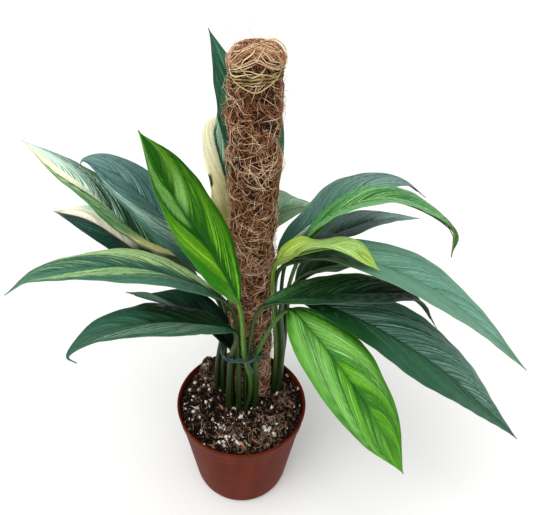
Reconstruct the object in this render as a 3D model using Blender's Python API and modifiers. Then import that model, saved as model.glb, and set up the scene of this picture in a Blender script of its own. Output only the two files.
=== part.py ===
"""Potted climbing aroid with long variegated leaves, on a coir pole in a 12 cm nursery pot.

The origin is the centre of the pot's underside. +Z is up, -Y faces the viewer.
Lengths in the tables are millimetres, angles are degrees.
"""
import math

import bmesh
import bpy
from mathutils import Matrix, Vector

MM = 0.001
GAP = 0.3

# Pot, a turned plastic nursery pot
POT_HEIGHT = 100.0
POT_RIM_RADIUS = 60.0
POT_BASE_RADIUS = 47.0
POT_WALL = 1.6
POT_FLOOR = 2.2
POT_BAND = 13.0
POT_BAND_INSET = 1.4
POT_LEDGE = 0.8
POT_FOOT_HEIGHT = 8.0
BAND_FOOT = POT_HEIGHT - POT_BAND
POT_STEPS = 36
DRAIN_HOLES = 6
DRAIN_RADIUS = 3.5
DRAIN_CIRCLE = 28.0

# Soil, with a heap given by its x, y, height and width
SOIL_LEVEL = 92.5
SOIL_LUMP = 1.3
SOIL_HEAP = (-29.0, 38.0, 9.0, 10.0)
HOLE_CLEARANCE = 0.5
HOLE_TOP = 130.0

# Coir pole
POLE_X = 8.8
POLE_Y = 18.0
POLE_RADIUS = 15.8
POLE_FOOT = 2.5
POLE_TOP = 403.0
POLE_NECK_LOW = 381.0
POLE_NECK_HIGH = 396.0
POLE_NECK_RADIUS = 15.6
POLE_HEAD_RADIUS = 16.6
POLE_LUMP = 1.0
POLE_SWELL = 0.5
POLE_STEPS = 24
POLE_LEVELS = 27
LUMPS_FOOT = 100.0
CORE_RADIUS = 6.0
CORE_TOP = 379.0

# Twine round the head of the pole, and the tie round the front shoot
TWINE_RADIUS = 0.9
TWINE_TURNS = 3
TWINE_RISE = 3.2
TWINE_STEPS = 15
TIE_RADIUS = 0.8
TIE_LEVEL = 158.0
TIE_RISE = 3.0
TIE_RING = [(6, -14.2), (13, -11), (17.6, -6), (15, -0.8), (8, -0.7), (0, 1.4), (-7, 7.8), (-13, 8.6),
            (-17, 3), (-16, -6), (-11, -13.4), (-2, -15)]

# Leaves
BLADE_THICKNESS = 0.8
BLADE_STATIONS = 11
BLADE_CELLS = 4
PETIOLE_FOOT_RADIUS = 2.6
PETIOLE_THROAT_RADIUS = 1.9
MIDRIB_END_RADIUS = 0.6
MIDRIB_SHARE = 0.14
PETIOLE_STATIONS = (0.0, 0.16, 0.32, 0.46, 0.6, 0.74, 0.86, 0.96)
WIDEST_SHARE = 0.42
SPAN_STEPS = 12

# One entry a leaf: the petiole's route up from below the soil, the midrib's route from
# the throat to the tip, the width, the roll at the throat, middle and tip, and the fold.
TIED_SHOOT = [
    # upright, left of the pole
    dict(petiole=[(1, -8, 84), (8, -9, 112), (8, -10, 140), (3, -11, 165)],
         midrib=[(-2, -20, 231), (-19, -18, 271), (-43, -26, 325), (-52, -56, 374)],
         width=55, roll=(56, 55, 68), fold=10),
    # long, level, to the left
    dict(petiole=[(-3, -8, 84), (-2, -9, 130), (-3, -9, 165)],
         midrib=[(-9, -11, 222), (-49, -14, 252), (-84, -18, 264), (-147, -22, 259), (-170, -27, 245)],
         width=53, roll=(-18, -8, 2), fold=4),
    # lower left
    dict(petiole=[(-12, -6, 84), (-11, -8, 130), (-9, -10, 163)],
         midrib=[(-5, -15, 198), (-39, -22, 214), (-65, -36, 227), (-101, -46, 227), (-120, -60, 217)],
         width=50, roll=(-2, -6, 16), fold=7),
    # small and dark, behind the lower left
    dict(petiole=[(-8, -4, 84), (-8, -1, 125)],
         midrib=[(-9, 2, 163), (-45, 9, 199), (-98, 20, 211)],
         width=42, roll=(12, -9, -55), fold=29),
    # to the right, in front of the pole
    dict(petiole=[(4, -4, 84), (4, -5, 130), (6, -6, 168)],
         midrib=[(16, -10, 220), (47, -11, 231), (83, -11, 234), (132, -8, 228), (160, -6, 194)],
         width=50, roll=(17, 13, 12), fold=11),
    # drooping, front right
    dict(petiole=[(13, -6, 84), (13, -5, 130), (13, -5, 162)],
         midrib=[(37, -10, 217), (53, -34, 216), (71, -55, 202), (94, -74, 174), (122, -89, 123)],
         width=57, roll=(-4, 7, -18), fold=2),
]
LEFT_SHOOT = [
    # upper left
    dict(petiole=[(-18, 13, 84), (-17, 16, 130), (-13, 27, 178)],
         midrib=[(-23, 29, 211), (-47, 33, 256), (-104, 44, 315), (-124, 53, 315)],
         width=57, roll=(-14, 4, 50), fold=5),
    # longest on the left
    dict(petiole=[(-21, 17, 84), (-20, 21, 130), (-15, 34, 182)],
         midrib=[(-38, 38, 226), (-81, 40, 252), (-122, 51, 290), (-173, 66, 327)],
         width=54, roll=(-22, -9, 12), fold=12),
    # under the longest on the left
    dict(petiole=[(-24, 13, 84), (-22, 17, 130), (-17, 30, 182)],
         midrib=[(-38, 37, 213), (-78, 37, 234), (-125, 44, 267), (-157, 54, 270)],
         width=49, roll=(-5, 6, 38), fold=15),
    # against the pole's left side
    dict(petiole=[(-19, 21, 84), (-17, 25, 130), (-11, 34, 182)],
         midrib=[(-9, 34, 255), (-11, 36, 299), (-20, 45, 337), (-19, 66, 346)],
         width=48, roll=(-23, -49, -32), fold=0),
]
BACK_SHOOT = [
    # tall and broad, behind the pole
    dict(petiole=[(4, 43, 84), (8, 46, 150)],
         midrib=[(18, 54, 219), (-1, 66, 286), (5, 80, 343), (-10, 97, 367), (-26, 114, 400)],
         width=68, roll=(24, 25, -1), fold=4),
    # pale, behind on the right
    dict(petiole=[(15, 42, 84), (20, 47, 150)],
         midrib=[(19, 70, 236), (40, 88, 257), (65, 106, 245), (98, 123, 230)],
         width=48, roll=(-7, -8, -1), fold=12),
]
RIGHT_SHOOT = [
    # arched, upper right, the farther
    dict(petiole=[(33, 22, 84), (34, 24, 150)],
         midrib=[(30, 33, 236), (58, 39, 269), (84, 40, 295), (124, 45, 301), (151, 53, 283)],
         width=49, roll=(-3, 5, -1), fold=5),
    # arched, upper right, the nearer
    dict(petiole=[(36, 18, 84), (37, 22, 150), (40, 24, 215)],
         midrib=[(50, 15, 263), (57, 14, 279), (87, 7, 303),
                 (111, 2, 306), (144, -14, 292), (137, -36, 284)],
         width=45, roll=(-18, -10, -1), fold=10),
    # under the arched two
    dict(petiole=[(35, 20, 84), (36, 26, 150)],
         midrib=[(41, 29, 246), (80, 39, 258), (112, 51, 263), (153, 60, 260)],
         width=44, roll=(22, 11, 5), fold=11),
    # young, twisted
    dict(petiole=[(31, 14, 84), (31, 12, 150)],
         midrib=[(26, -1, 256), (40, -13, 273), (72, -23, 283), (92, -35, 273)],
         width=39, roll=(-22, 25, -18), fold=9),
    # long, to the far right
    dict(petiole=[(34, 15, 84), (34, 13, 150)],
         midrib=[(30, 4, 247), (60, -5, 265), (91, -11, 264),
                 (134, -20, 249), (168, -31, 228), (218, -42, 184)],
         width=56, roll=(22, 0, -2), fold=9),
    # small and dark, under the others
    dict(petiole=[(37, 21, 84), (39, 20, 150)],
         midrib=[(45, 22, 219), (68, 29, 230), (110, 32, 234)],
         width=44, roll=(20, 3, 5), fold=15),
    # longest, drooping to the right
    dict(petiole=[(36, 13, 84), (37, 11, 150)],
         midrib=[(36, -1, 224), (66, -13, 224), (108, -21, 207), (168, -34, 168), (235, -47, 105)],
         width=59, roll=(12, -5, -1), fold=11),
]
# Name, leaves, and the crown under the soil: centre x, y, z and half sizes
SHOOTS = [
    ("tied_shoot", TIED_SHOOT, (1.5, -6.2, 84.0), (17.5, 5.4, 7.0)),
    ("left_shoot", LEFT_SHOOT, (-20.5, 16.5, 84.0), (7.0, 8.0, 7.0)),
    ("back_shoot", BACK_SHOOT, (9.5, 43.0, 84.0), (9.0, 4.8, 7.0)),
    ("right_shoot", RIGHT_SHOOT, (34.5, 17.5, 84.0), (6.8, 8.0, 7.0)),
]

for item in list(bpy.data.objects):
    bpy.data.objects.remove(item, do_unlink=True)

plant = bpy.data.collections.new("potted_plant")
cutters = bpy.data.collections.new("cutters")
bpy.context.scene.collection.children.link(plant)
bpy.context.scene.collection.children.link(cutters)


def material(name, rgb, roughness):
    made = bpy.data.materials.new(name)
    made.use_nodes = True
    shader = made.node_tree.nodes["Principled BSDF"]
    shader.inputs["Base Color"].default_value = (*rgb, 1.0)
    shader.inputs["Roughness"].default_value = roughness
    shader.inputs["Metallic"].default_value = 0.0
    return made


def add_object(name, data, collection):
    made = bpy.data.objects.new(name, data)
    collection.objects.link(made)
    return made


def apply_modifiers(made):
    """Replace an object's mesh by its evaluated one, with its modifiers gone."""
    bpy.context.view_layer.update()
    evaluated = made.evaluated_get(bpy.context.evaluated_depsgraph_get())
    mesh = bpy.data.meshes.new_from_object(evaluated)
    made.modifiers.clear()
    made.data = mesh
    return made


def turned(name, profile, steps, collection):
    """Solid of revolution about Z from (radius, height) pairs in millimetres."""
    mesh = bpy.data.meshes.new(name)
    points = [(radius * MM, 0.0, height * MM) for radius, height in profile]
    edges = [(index, index + 1) for index in range(len(points) - 1)]
    mesh.from_pydata(points, edges, [])
    made = add_object(name, mesh, collection)
    screw = made.modifiers.new("turn", "SCREW")
    screw.steps = steps
    screw.render_steps = steps
    screw.use_merge_vertices = True
    screw.merge_threshold = 0.00001
    apply_modifiers(made)
    return made


def tube(name, points, radii, resolution, collection):
    """Closed tube mesh along points, made as a bevelled curve with filled caps."""
    curve = bpy.data.curves.new(name, "CURVE")
    curve.dimensions = "3D"
    curve.bevel_depth = MM
    curve.bevel_resolution = resolution
    curve.use_fill_caps = True
    spline = curve.splines.new("POLY")
    spline.points.add(len(points) - 1)
    for place, point, radius in zip(spline.points, points, radii):
        place.co = (*(point * MM), 1.0)
        place.radius = radius
    route = add_object(name + "_route", curve, collection)
    bpy.context.view_layer.update()
    evaluated = route.evaluated_get(bpy.context.evaluated_depsgraph_get())
    mesh = bpy.data.meshes.new_from_object(evaluated)
    work = bmesh.new()
    work.from_mesh(mesh)
    bmesh.ops.remove_doubles(work, verts=work.verts, dist=0.000001)
    bmesh.ops.recalc_face_normals(work, faces=work.faces)
    work.to_mesh(mesh)
    work.free()
    made = add_object(name, mesh, collection)
    made.matrix_world = route.matrix_world
    bpy.data.objects.remove(route, do_unlink=True)
    return made


def ellipsoid(name, centre, half_sizes, collection):
    work = bmesh.new()
    bmesh.ops.create_uvsphere(work, u_segments=14, v_segments=8, radius=1.0)
    scale = Matrix.Diagonal((*[size * MM for size in half_sizes], 1.0))
    place = Matrix.Translation(Vector(centre) * MM)
    bmesh.ops.transform(work, matrix=place @ scale, verts=work.verts)
    mesh = bpy.data.meshes.new(name)
    work.to_mesh(mesh)
    work.free()
    return add_object(name, mesh, collection)


def upright_cutters(name, holes, steps):
    """Elliptic cylinders as one cutter, each given as x, y, half sizes, bottom and top."""
    work = bmesh.new()
    for x, y, half_x, half_y, low, high in holes:
        made = bmesh.ops.create_cone(work, cap_ends=True, segments=steps, radius1=1, radius2=1, depth=1)
        scale = Matrix.Diagonal((half_x * MM, half_y * MM, (high - low) * MM, 1.0))
        place = Matrix.Translation(Vector((x, y, (low + high) / 2)) * MM)
        bmesh.ops.transform(work, matrix=place @ scale, verts=made["verts"])
    mesh = bpy.data.meshes.new(name)
    work.to_mesh(mesh)
    work.free()
    made = add_object(name, mesh, cutters)
    made.hide_render = True
    made.display_type = "WIRE"
    return made


def cut(made, tool):
    boolean = made.modifiers.new("cut", "BOOLEAN")
    boolean.operation = "DIFFERENCE"
    boolean.solver = "EXACT"
    boolean.object = tool


def smooth_route(points, per_span):
    """Dense points of a rounded curve through the given ones."""
    knots = [Vector(point) for point in points]
    knots = [knots[0] * 2 - knots[1]] + knots + [knots[-1] * 2 - knots[-2]]
    route = []
    for before, start, end, after in zip(knots, knots[1:], knots[2:], knots[3:]):
        span_before = math.sqrt((start - before).length)
        span = math.sqrt((end - start).length)
        span_after = math.sqrt((after - end).length)
        leave = (start - before) / span_before - (end - before) / (span_before + span)
        leave = (end - start) + leave * span
        arrive = (after - end) / span_after - (after - start) / (span + span_after)
        arrive = (end - start) + arrive * span
        for step in range(per_span):
            t = step / per_span
            route.append(start * (2 * t**3 - 3 * t**2 + 1) + leave * (t**3 - 2 * t**2 + t)
                         + end * (3 * t**2 - 2 * t**3) + arrive * (t**3 - t**2))
    route.append(knots[-2])
    return route


def lengths_along(route):
    reached = [0.0]
    for start, end in zip(route, route[1:]):
        reached.append(reached[-1] + (end - start).length)
    return reached


def point_at(route, reached, distance):
    distance = min(max(distance, 0.0), reached[-1])
    for index in range(len(route) - 1):
        if distance <= reached[index + 1]:
            share = (distance - reached[index]) / max(reached[index + 1] - reached[index], 1e-9)
            return route[index].lerp(route[index + 1], share)
    return route[-1]


def blade_outline(share):
    """Half width of a lance-shaped blade as a share of its widest, throat 0 to tip 1."""
    if share < WIDEST_SHARE:
        return math.sin(math.pi / 2 * (share / WIDEST_SHARE) ** 0.85) ** 0.9
    return math.sin(math.pi / 2 * (1 - share) / (1 - WIDEST_SHARE)) ** 1.18


def eased(share, values):
    """Smooth change through the values at the throat, the middle and the tip."""
    first, middle, last = values
    if share < 0.5:
        t = share * 2
        return first + (middle - first) * (3 * t**2 - 2 * t**3)
    t = share * 2 - 1
    return middle + (last - middle) * (3 * t**2 - 2 * t**3)


def leaf_route(leaf):
    route = smooth_route(leaf["petiole"] + leaf["midrib"], SPAN_STEPS)
    reached = lengths_along(route)
    throat = reached[len(leaf["petiole"]) * SPAN_STEPS]
    return route, reached, throat


def blade(name, leaf, collection):
    """Thin closed blade: a flat grid laid on the midrib's route and given thickness."""
    route, reached, throat = leaf_route(leaf)
    length = reached[-1] - throat
    heading = Vector(leaf["midrib"][-1]) - Vector(leaf["midrib"][0])
    across = Vector((heading.y, -heading.x, 0.0)).normalized()
    fold = math.radians(leaf["fold"])
    rows = []
    for station in range(BLADE_STATIONS + 1):
        share = station / BLADE_STATIONS
        share -= 0.05 * math.sin(2 * math.pi * share)
        centre = point_at(route, reached, throat + share * length)
        ahead = point_at(route, reached, throat + (share + 0.004) * length)
        behind = point_at(route, reached, throat + (share - 0.004) * length)
        along = (ahead - behind).normalized()
        across = (across - along * across.dot(along)).normalized()
        above = across.cross(along)
        roll = math.radians(eased(share, leaf["roll"]))
        side = across * math.cos(roll) + above * math.sin(roll)
        face = above * math.cos(roll) - across * math.sin(roll)
        half = max(leaf["width"] / 2 * blade_outline(min(max(share, 0.0), 1.0)), 0.5)
        rows.append((centre, side * math.cos(fold), face * math.sin(fold), half))
    work = bmesh.new()
    bmesh.ops.create_grid(work, x_segments=BLADE_STATIONS, y_segments=BLADE_CELLS, size=1.0)
    for vertex in work.verts:
        station = round((vertex.co.x + 1) / 2 * BLADE_STATIONS)
        offset = vertex.co.y
        centre, side, lift, half = rows[station]
        vertex.co = (centre + side * half * offset + lift * half * abs(offset)) * MM
    bmesh.ops.triangulate(work, faces=work.faces)
    mesh = bpy.data.meshes.new(name)
    work.to_mesh(mesh)
    work.free()
    made = add_object(name, mesh, collection)
    solidify = made.modifiers.new("thickness", "SOLIDIFY")
    solidify.thickness = BLADE_THICKNESS * MM
    solidify.offset = 0.0
    apply_modifiers(made)
    return made


def petiole(name, leaf, collection):
    """Stalk from below the soil, running on under the blade as its raised midrib."""
    route, reached, throat = leaf_route(leaf)
    length = reached[-1] - throat
    points = []
    radii = []
    for share in PETIOLE_STATIONS:
        points.append(point_at(route, reached, throat * share))
        radii.append(PETIOLE_FOOT_RADIUS + (PETIOLE_THROAT_RADIUS - PETIOLE_FOOT_RADIUS) * share)
    for share in (0.3, 1.0):
        points.append(point_at(route, reached, throat + length * MIDRIB_SHARE * share))
        radii.append(PETIOLE_THROAT_RADIUS + (MIDRIB_END_RADIUS - PETIOLE_THROAT_RADIUS) * share)
    return tube(name, points, radii, 1, collection)


def join_shoot(name, leaves, crown_centre, crown_half):
    """Crown, petioles and blades of one shoot, fused in one solid."""
    pieces = bpy.data.collections.new(name + "_pieces")
    bpy.context.scene.collection.children.link(pieces)
    for number, leaf in enumerate(leaves, 1):
        blade(f"{name}_blade_{number}", leaf, pieces)
        petiole(f"{name}_petiole_{number}", leaf, pieces)
    made = ellipsoid(name, crown_centre, crown_half, plant)
    union = made.modifiers.new("fuse", "BOOLEAN")
    union.operation = "UNION"
    union.operand_type = "COLLECTION"
    union.collection = pieces
    union.solver = "MANIFOLD"
    apply_modifiers(made)
    for item in list(pieces.objects):
        bpy.data.objects.remove(item, do_unlink=True)
    bpy.data.collections.remove(pieces)
    made.data.shade_smooth()
    return made


def pot_wall_radius(height):
    """Outer radius of the tapering wall below the rim band."""
    top = POT_RIM_RADIUS - POT_BAND_INSET - POT_LEDGE
    share = (height - POT_FOOT_HEIGHT) / (BAND_FOOT - POT_FOOT_HEIGHT)
    return POT_BASE_RADIUS + (top - POT_BASE_RADIUS) * share


def pot_inside():
    """Inner side of the pot from the middle of its floor up to the lip."""
    return [(0, POT_FLOOR), (40, POT_FLOOR), (44, 5),
            (pot_wall_radius(12) - POT_WALL, 12),
            (pot_wall_radius(BAND_FOOT) - POT_WALL, BAND_FOOT - 1),
            (57.4, BAND_FOOT + 3), (58, 98.5)]


def make_pot():
    """Turned wall, rolled lip and flat floor with a ring of drain holes."""
    lip = [(58.6, 99.7), (59.4, POT_HEIGHT), (60.2, 99.6), (60.4, 98.6), (59.9, 97.4)]
    outside = [(POT_RIM_RADIUS - POT_BAND_INSET + 0.1, BAND_FOOT),
               (pot_wall_radius(BAND_FOOT), BAND_FOOT - 0.6),
               (POT_BASE_RADIUS, POT_FOOT_HEIGHT),
               (POT_BASE_RADIUS - 1.3, 3.6), (POT_BASE_RADIUS - 4, 0.8), (40.5, 0), (0, 0)]
    pot = turned("pot", pot_inside() + lip + outside, POT_STEPS, plant)
    centres = []
    for number in range(DRAIN_HOLES):
        turn = 2 * math.pi * number / DRAIN_HOLES
        centres.append((DRAIN_CIRCLE * math.cos(turn), DRAIN_CIRCLE * math.sin(turn)))
    holes = [(x, y, DRAIN_RADIUS, DRAIN_RADIUS, -2, POT_FLOOR + 2) for x, y in centres]
    cut(pot, upright_cutters("drain_holes", holes, 12))
    pot.data.shade_smooth()
    pot.data.set_sharp_from_angle(angle=math.radians(35))
    return pot


def make_soil():
    """Plug that follows the pot's inside, with a lumpy top heaped up at the back left."""
    side = [(radius - GAP, max(height, POT_FLOOR + GAP)) for radius, height in pot_inside()[1:6]]
    top = [(radius, SOIL_LEVEL) for radius in (56.8, 54, 49, 43, 36, 29, 22, 14, 7, 0)]
    profile = [(0, POT_FLOOR + GAP)] + side + top
    soil = turned("soil", profile[::-1], POT_STEPS, plant)
    heap_x, heap_y, heap_height, heap_width = SOIL_HEAP
    for vertex in soil.data.vertices:
        x, y, z = vertex.co / MM
        if z < SOIL_LEVEL - 0.5:
            continue
        fade = min(1.0, max(0.3, (57.5 - math.hypot(x, y)) / 4))
        lumps = math.sin(x * 0.31 + 1.2) * math.cos(y * 0.27 - 0.4)
        lumps += 0.6 * math.sin(x * 0.13 - y * 0.52)
        heap = heap_height * math.exp(-((x - heap_x) ** 2 + (y - heap_y) ** 2) / heap_width**2)
        vertex.co.z = (z + SOIL_LUMP * lumps * fade + heap) * MM
    pole_reach = POLE_RADIUS + HOLE_CLEARANCE
    holes = [(POLE_X, POLE_Y, pole_reach, pole_reach, -5, HOLE_TOP)]
    for name, leaves, centre, half in SHOOTS:
        holes.append((centre[0], centre[1], half[0] + 1.2, half[1] + 1.4,
                      centre[2] - half[2] - GAP, HOLE_TOP))
    cut(soil, upright_cutters("soil_holes", holes, POLE_STEPS))
    return soil


def make_core():
    """Plain round stake inside the coir."""
    profile = [(0, CORE_TOP), (CORE_RADIUS - 1, CORE_TOP), (CORE_RADIUS, CORE_TOP - 1),
               (CORE_RADIUS, POLE_FOOT + 1), (CORE_RADIUS - 1, POLE_FOOT), (0, POLE_FOOT)]
    core = turned("pole_core", profile, 16, plant)
    core.location = (POLE_X * MM, POLE_Y * MM, 0)
    core.data.shade_smooth()
    core.data.set_sharp_from_angle(angle=math.radians(35))
    return core


def make_sleeve():
    """Coir wrap: plain in the soil, lumpy above it, with a bound neck and a domed head."""
    profile = [(0, POLE_TOP), (6, POLE_TOP - 0.8), (11, POLE_TOP - 2.6), (14.6, POLE_TOP - 4.8),
               (POLE_HEAD_RADIUS - 0.4, POLE_TOP - 6.6), (POLE_NECK_RADIUS, POLE_NECK_HIGH - 1.6),
               (POLE_NECK_RADIUS, POLE_NECK_LOW + 1)]
    upper = POLE_NECK_LOW - 1.5
    for step in range(POLE_LEVELS + 1):
        height = upper + (LUMPS_FOOT + 1 - upper) * step / POLE_LEVELS
        profile.append((POLE_RADIUS, height))
    bore = CORE_RADIUS + GAP
    profile += [(POLE_RADIUS - 0.1, LUMPS_FOOT - 3), (POLE_RADIUS - 0.1, POLE_FOOT),
                (bore, POLE_FOOT), (bore, CORE_TOP + 1), (0, CORE_TOP + 1)]
    sleeve = turned("coir_sleeve", profile, POLE_STEPS, plant)
    for vertex in sleeve.data.vertices:
        x, y, z = vertex.co / MM
        radius = math.hypot(x, y)
        if radius < POLE_RADIUS - 0.05 or z < LUMPS_FOOT or z > POLE_NECK_LOW:
            continue
        turn = math.atan2(y, x)
        fade = min(1.0, (z - LUMPS_FOOT) / 8, (POLE_NECK_LOW - z) / 6 + 0.2)
        lump = 0.5 * math.sin(2 * turn + z / 11) + 0.35 * math.sin(5 * turn - z / 5.2)
        lump += 0.35 * math.sin(z / 7.1) + 0.3 * math.sin(3 * turn + z / 3.9)
        swell = POLE_SWELL * (z - LUMPS_FOOT) / (POLE_NECK_LOW - LUMPS_FOOT)
        grown = 1 + (POLE_LUMP * lump * fade + swell) / radius
        vertex.co.x *= grown
        vertex.co.y *= grown
    sleeve.location = (POLE_X * MM, POLE_Y * MM, 0)
    sleeve.data.shade_smooth()
    return sleeve


def make_twine():
    """Turns of twine round the neck of the pole, rising as one helix."""
    reach = POLE_NECK_RADIUS + TWINE_RADIUS + GAP + 0.15
    points = []
    for step in range(TWINE_STEPS * TWINE_TURNS + 1):
        turn = 2 * math.pi * step / TWINE_STEPS
        height = POLE_NECK_LOW + 2.4 + TWINE_RISE * step / TWINE_STEPS + 0.5 * math.sin(turn + 1)
        points.append(Vector((POLE_X + reach * math.cos(turn), POLE_Y + reach * math.sin(turn), height)))
    twine = tube("pole_twine", points, [TWINE_RADIUS] * len(points), 2, plant)
    twine.data.shade_smooth()
    return twine


def make_tie():
    """Two turns round the petioles of the front shoot, with both ends loose at the front."""
    points = [Vector((8.5, -16.5, TIE_LEVEL - 11)), Vector((9.5, -16.5, TIE_LEVEL - 6))]
    for step in range(2 * len(TIE_RING)):
        x, y = TIE_RING[step % len(TIE_RING)]
        out = 1.0 if step < len(TIE_RING) else 1.012
        points.append(Vector((x, y, 0)) * out + Vector((0, 0, TIE_LEVEL + TIE_RISE * step / len(TIE_RING))))
    points += [Vector((3.5, -17, TIE_LEVEL + 2 * TIE_RISE)),
               Vector((8, -17.5, TIE_LEVEL + 2 * TIE_RISE - 2.5))]
    tie = tube("shoot_tie", points, [TIE_RADIUS] * len(points), 1, plant)
    tie.data.shade_smooth()
    return tie


make_pot().data.materials.append(material("terracotta_plastic", (0.30, 0.055, 0.025), 0.45))
make_soil().data.materials.append(material("potting_soil", (0.020, 0.012, 0.008), 0.95))
make_core().data.materials.append(material("wooden_stake", (0.45, 0.30, 0.16), 0.75))
make_sleeve().data.materials.append(material("coir_fibre", (0.20, 0.085, 0.035), 0.95))
make_twine().data.materials.append(material("straw_twine", (0.50, 0.36, 0.14), 0.85))
make_tie().data.materials.append(material("blue_green_raffia", (0.03, 0.12, 0.125), 0.6))
foliage = material("leaf_green", (0.035, 0.13, 0.035), 0.4)
for name, leaves, centre, half in SHOOTS:
    shoot = join_shoot(name, leaves, centre, half)
    shoot.data.materials.clear()
    shoot.data.materials.append(foliage)
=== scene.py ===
import math

import bmesh
import bpy
import numpy as np
from mathutils import Matrix, Vector, noise


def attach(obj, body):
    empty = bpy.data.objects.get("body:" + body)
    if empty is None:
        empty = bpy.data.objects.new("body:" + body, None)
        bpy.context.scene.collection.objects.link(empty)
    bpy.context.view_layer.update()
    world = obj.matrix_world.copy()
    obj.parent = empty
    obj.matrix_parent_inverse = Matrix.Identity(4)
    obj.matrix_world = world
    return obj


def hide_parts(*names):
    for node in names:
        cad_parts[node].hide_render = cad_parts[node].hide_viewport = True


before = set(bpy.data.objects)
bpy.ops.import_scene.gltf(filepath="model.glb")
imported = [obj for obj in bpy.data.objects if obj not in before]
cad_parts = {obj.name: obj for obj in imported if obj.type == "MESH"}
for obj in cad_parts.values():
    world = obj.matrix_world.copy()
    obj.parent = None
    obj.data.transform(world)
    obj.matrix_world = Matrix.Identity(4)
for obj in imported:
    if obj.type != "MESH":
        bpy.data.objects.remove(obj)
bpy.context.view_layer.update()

MM = 0.001


# Nursery pot: one injection moulding in terracotta-brown polypropylene, 12 cm across.
# The wall tapers to a rounded foot, and a band 13 mm high stiffens the rolled rim.
# Six round holes in the flat floor let the water out.
POT_STEPS = 120
POT_PROFILE = [
    (40.5, 0.0), (42.2, 0.25), (43.8, 1.0), (45.2, 2.4), (46.3, 4.8), (47.0, 8.0), (48.6, 20.0),
    (53.0, 52.0), (57.0, 81.0), (57.7, 86.2), (58.0, 86.8), (58.7, 87.1), (58.9, 88.0), (59.9, 97.2),
    (60.3, 98.1), (60.4, 98.9), (60.1, 99.6), (59.4, 100.0), (58.7, 99.7), (58.2, 98.9), (58.0, 97.8),
    (57.5, 90.0), (56.3, 86.2), (55.5, 80.0), (51.4, 52.0), (46.4, 14.0), (44.0, 5.0), (40.0, 2.2),
]
DRAIN_HOLES = 6
DRAIN_RADIUS = 3.5
DRAIN_CIRCLE = 28.0


def linear(code, alpha=1.0):
    """Linear colour of an sRGB hex value such as 6F2B1D."""
    parts = [int(code[place:place + 2], 16) / 255 for place in (0, 2, 4)]
    parts = [part / 12.92 if part <= 0.04045 else ((part + 0.055) / 1.055) ** 2.4 for part in parts]
    return (*parts, alpha)


def new_material(name):
    made = bpy.data.materials.new(name)
    made.use_nodes = True
    return made, made.node_tree, made.node_tree.nodes["Principled BSDF"]


def add_node(tree, kind, output, sockets=None, stops=None, **settings):
    """Adds a node with its settings and links, and for a ramp its stops, and gives an output."""
    made = tree.nodes.new("ShaderNode" + kind)
    for name, value in settings.items():
        setattr(made, name, value)
    for name, value in (sockets or {}).items():
        if isinstance(value, bpy.types.NodeSocket):
            tree.links.new(value, made.inputs[name])
        else:
            made.inputs[name].default_value = value
    for number, (position, code) in enumerate(stops or []):
        if number > 1:
            made.color_ramp.elements.new(position)
        made.color_ramp.elements[number].position = position
        made.color_ramp.elements[number].color = linear(code)
    return made.outputs[output]


def choose(*pieces):
    """Selects these objects and no others, with the last one active."""
    bpy.ops.object.select_all(action="DESELECT")
    for piece in pieces:
        piece.select_set(True)
        bpy.context.view_layer.objects.active = piece


def finish_piece(piece, name, slot, *nodes):
    """Puts a piece's place in its mesh and hands it to the frame."""
    choose(piece)
    bpy.ops.object.transform_apply(location=True, rotation=True, scale=True)
    piece.name = name
    piece.data.name = name
    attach(piece, "root")
    if nodes:
        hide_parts(*nodes)


# Moulded polypropylene: satin, a little waxy, with faint flow marks down the wall.
polypropylene, tree, shader = new_material("moulded_polypropylene")
place = add_node(tree, "TexCoord", "Object")
drawn_out = add_node(tree, "Mapping", "Vector", {"Vector": place, "Scale": (1, 1, 0.12)})
flow = add_node(tree, "TexNoise", "Fac", {"Vector": drawn_out, "Scale": 1 / (14 * MM), "Detail": 3.0})
scuffs = add_node(tree, "TexNoise", "Fac", {"Vector": place, "Scale": 1 / (2.2 * MM), "Detail": 4.0})
wall_colour = add_node(tree, "ValToRGB", "Color", {"Fac": flow}, [
    (0.3, "531B0D"), (0.5, "5C200F"), (0.72, "662613")])
dusty = add_node(tree, "MapRange", "Result", {
    "Value": scuffs, "From Min": 0.6, "From Max": 0.78, "To Min": 0.0, "To Max": 0.14})
pot_colour = add_node(tree, "Mix", "Result", {
    "Factor": dusty, "A": wall_colour, "B": linear("8A4630")}, data_type="RGBA")
worn = add_node(tree, "MapRange", "Result", {
    "Value": scuffs, "From Min": 0.35, "From Max": 0.75, "To Min": 0.42, "To Max": 0.56})
dimpled = add_node(tree, "Bump", "Normal", {"Height": flow, "Strength": 0.12, "Distance": 0.4 * MM})
tree.links.new(pot_colour, shader.inputs["Base Color"])
tree.links.new(worn, shader.inputs["Roughness"])
tree.links.new(dimpled, shader.inputs["Normal"])
shader.inputs["IOR"].default_value = 1.49
shader.inputs["Specular IOR Level"].default_value = 0.03

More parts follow.
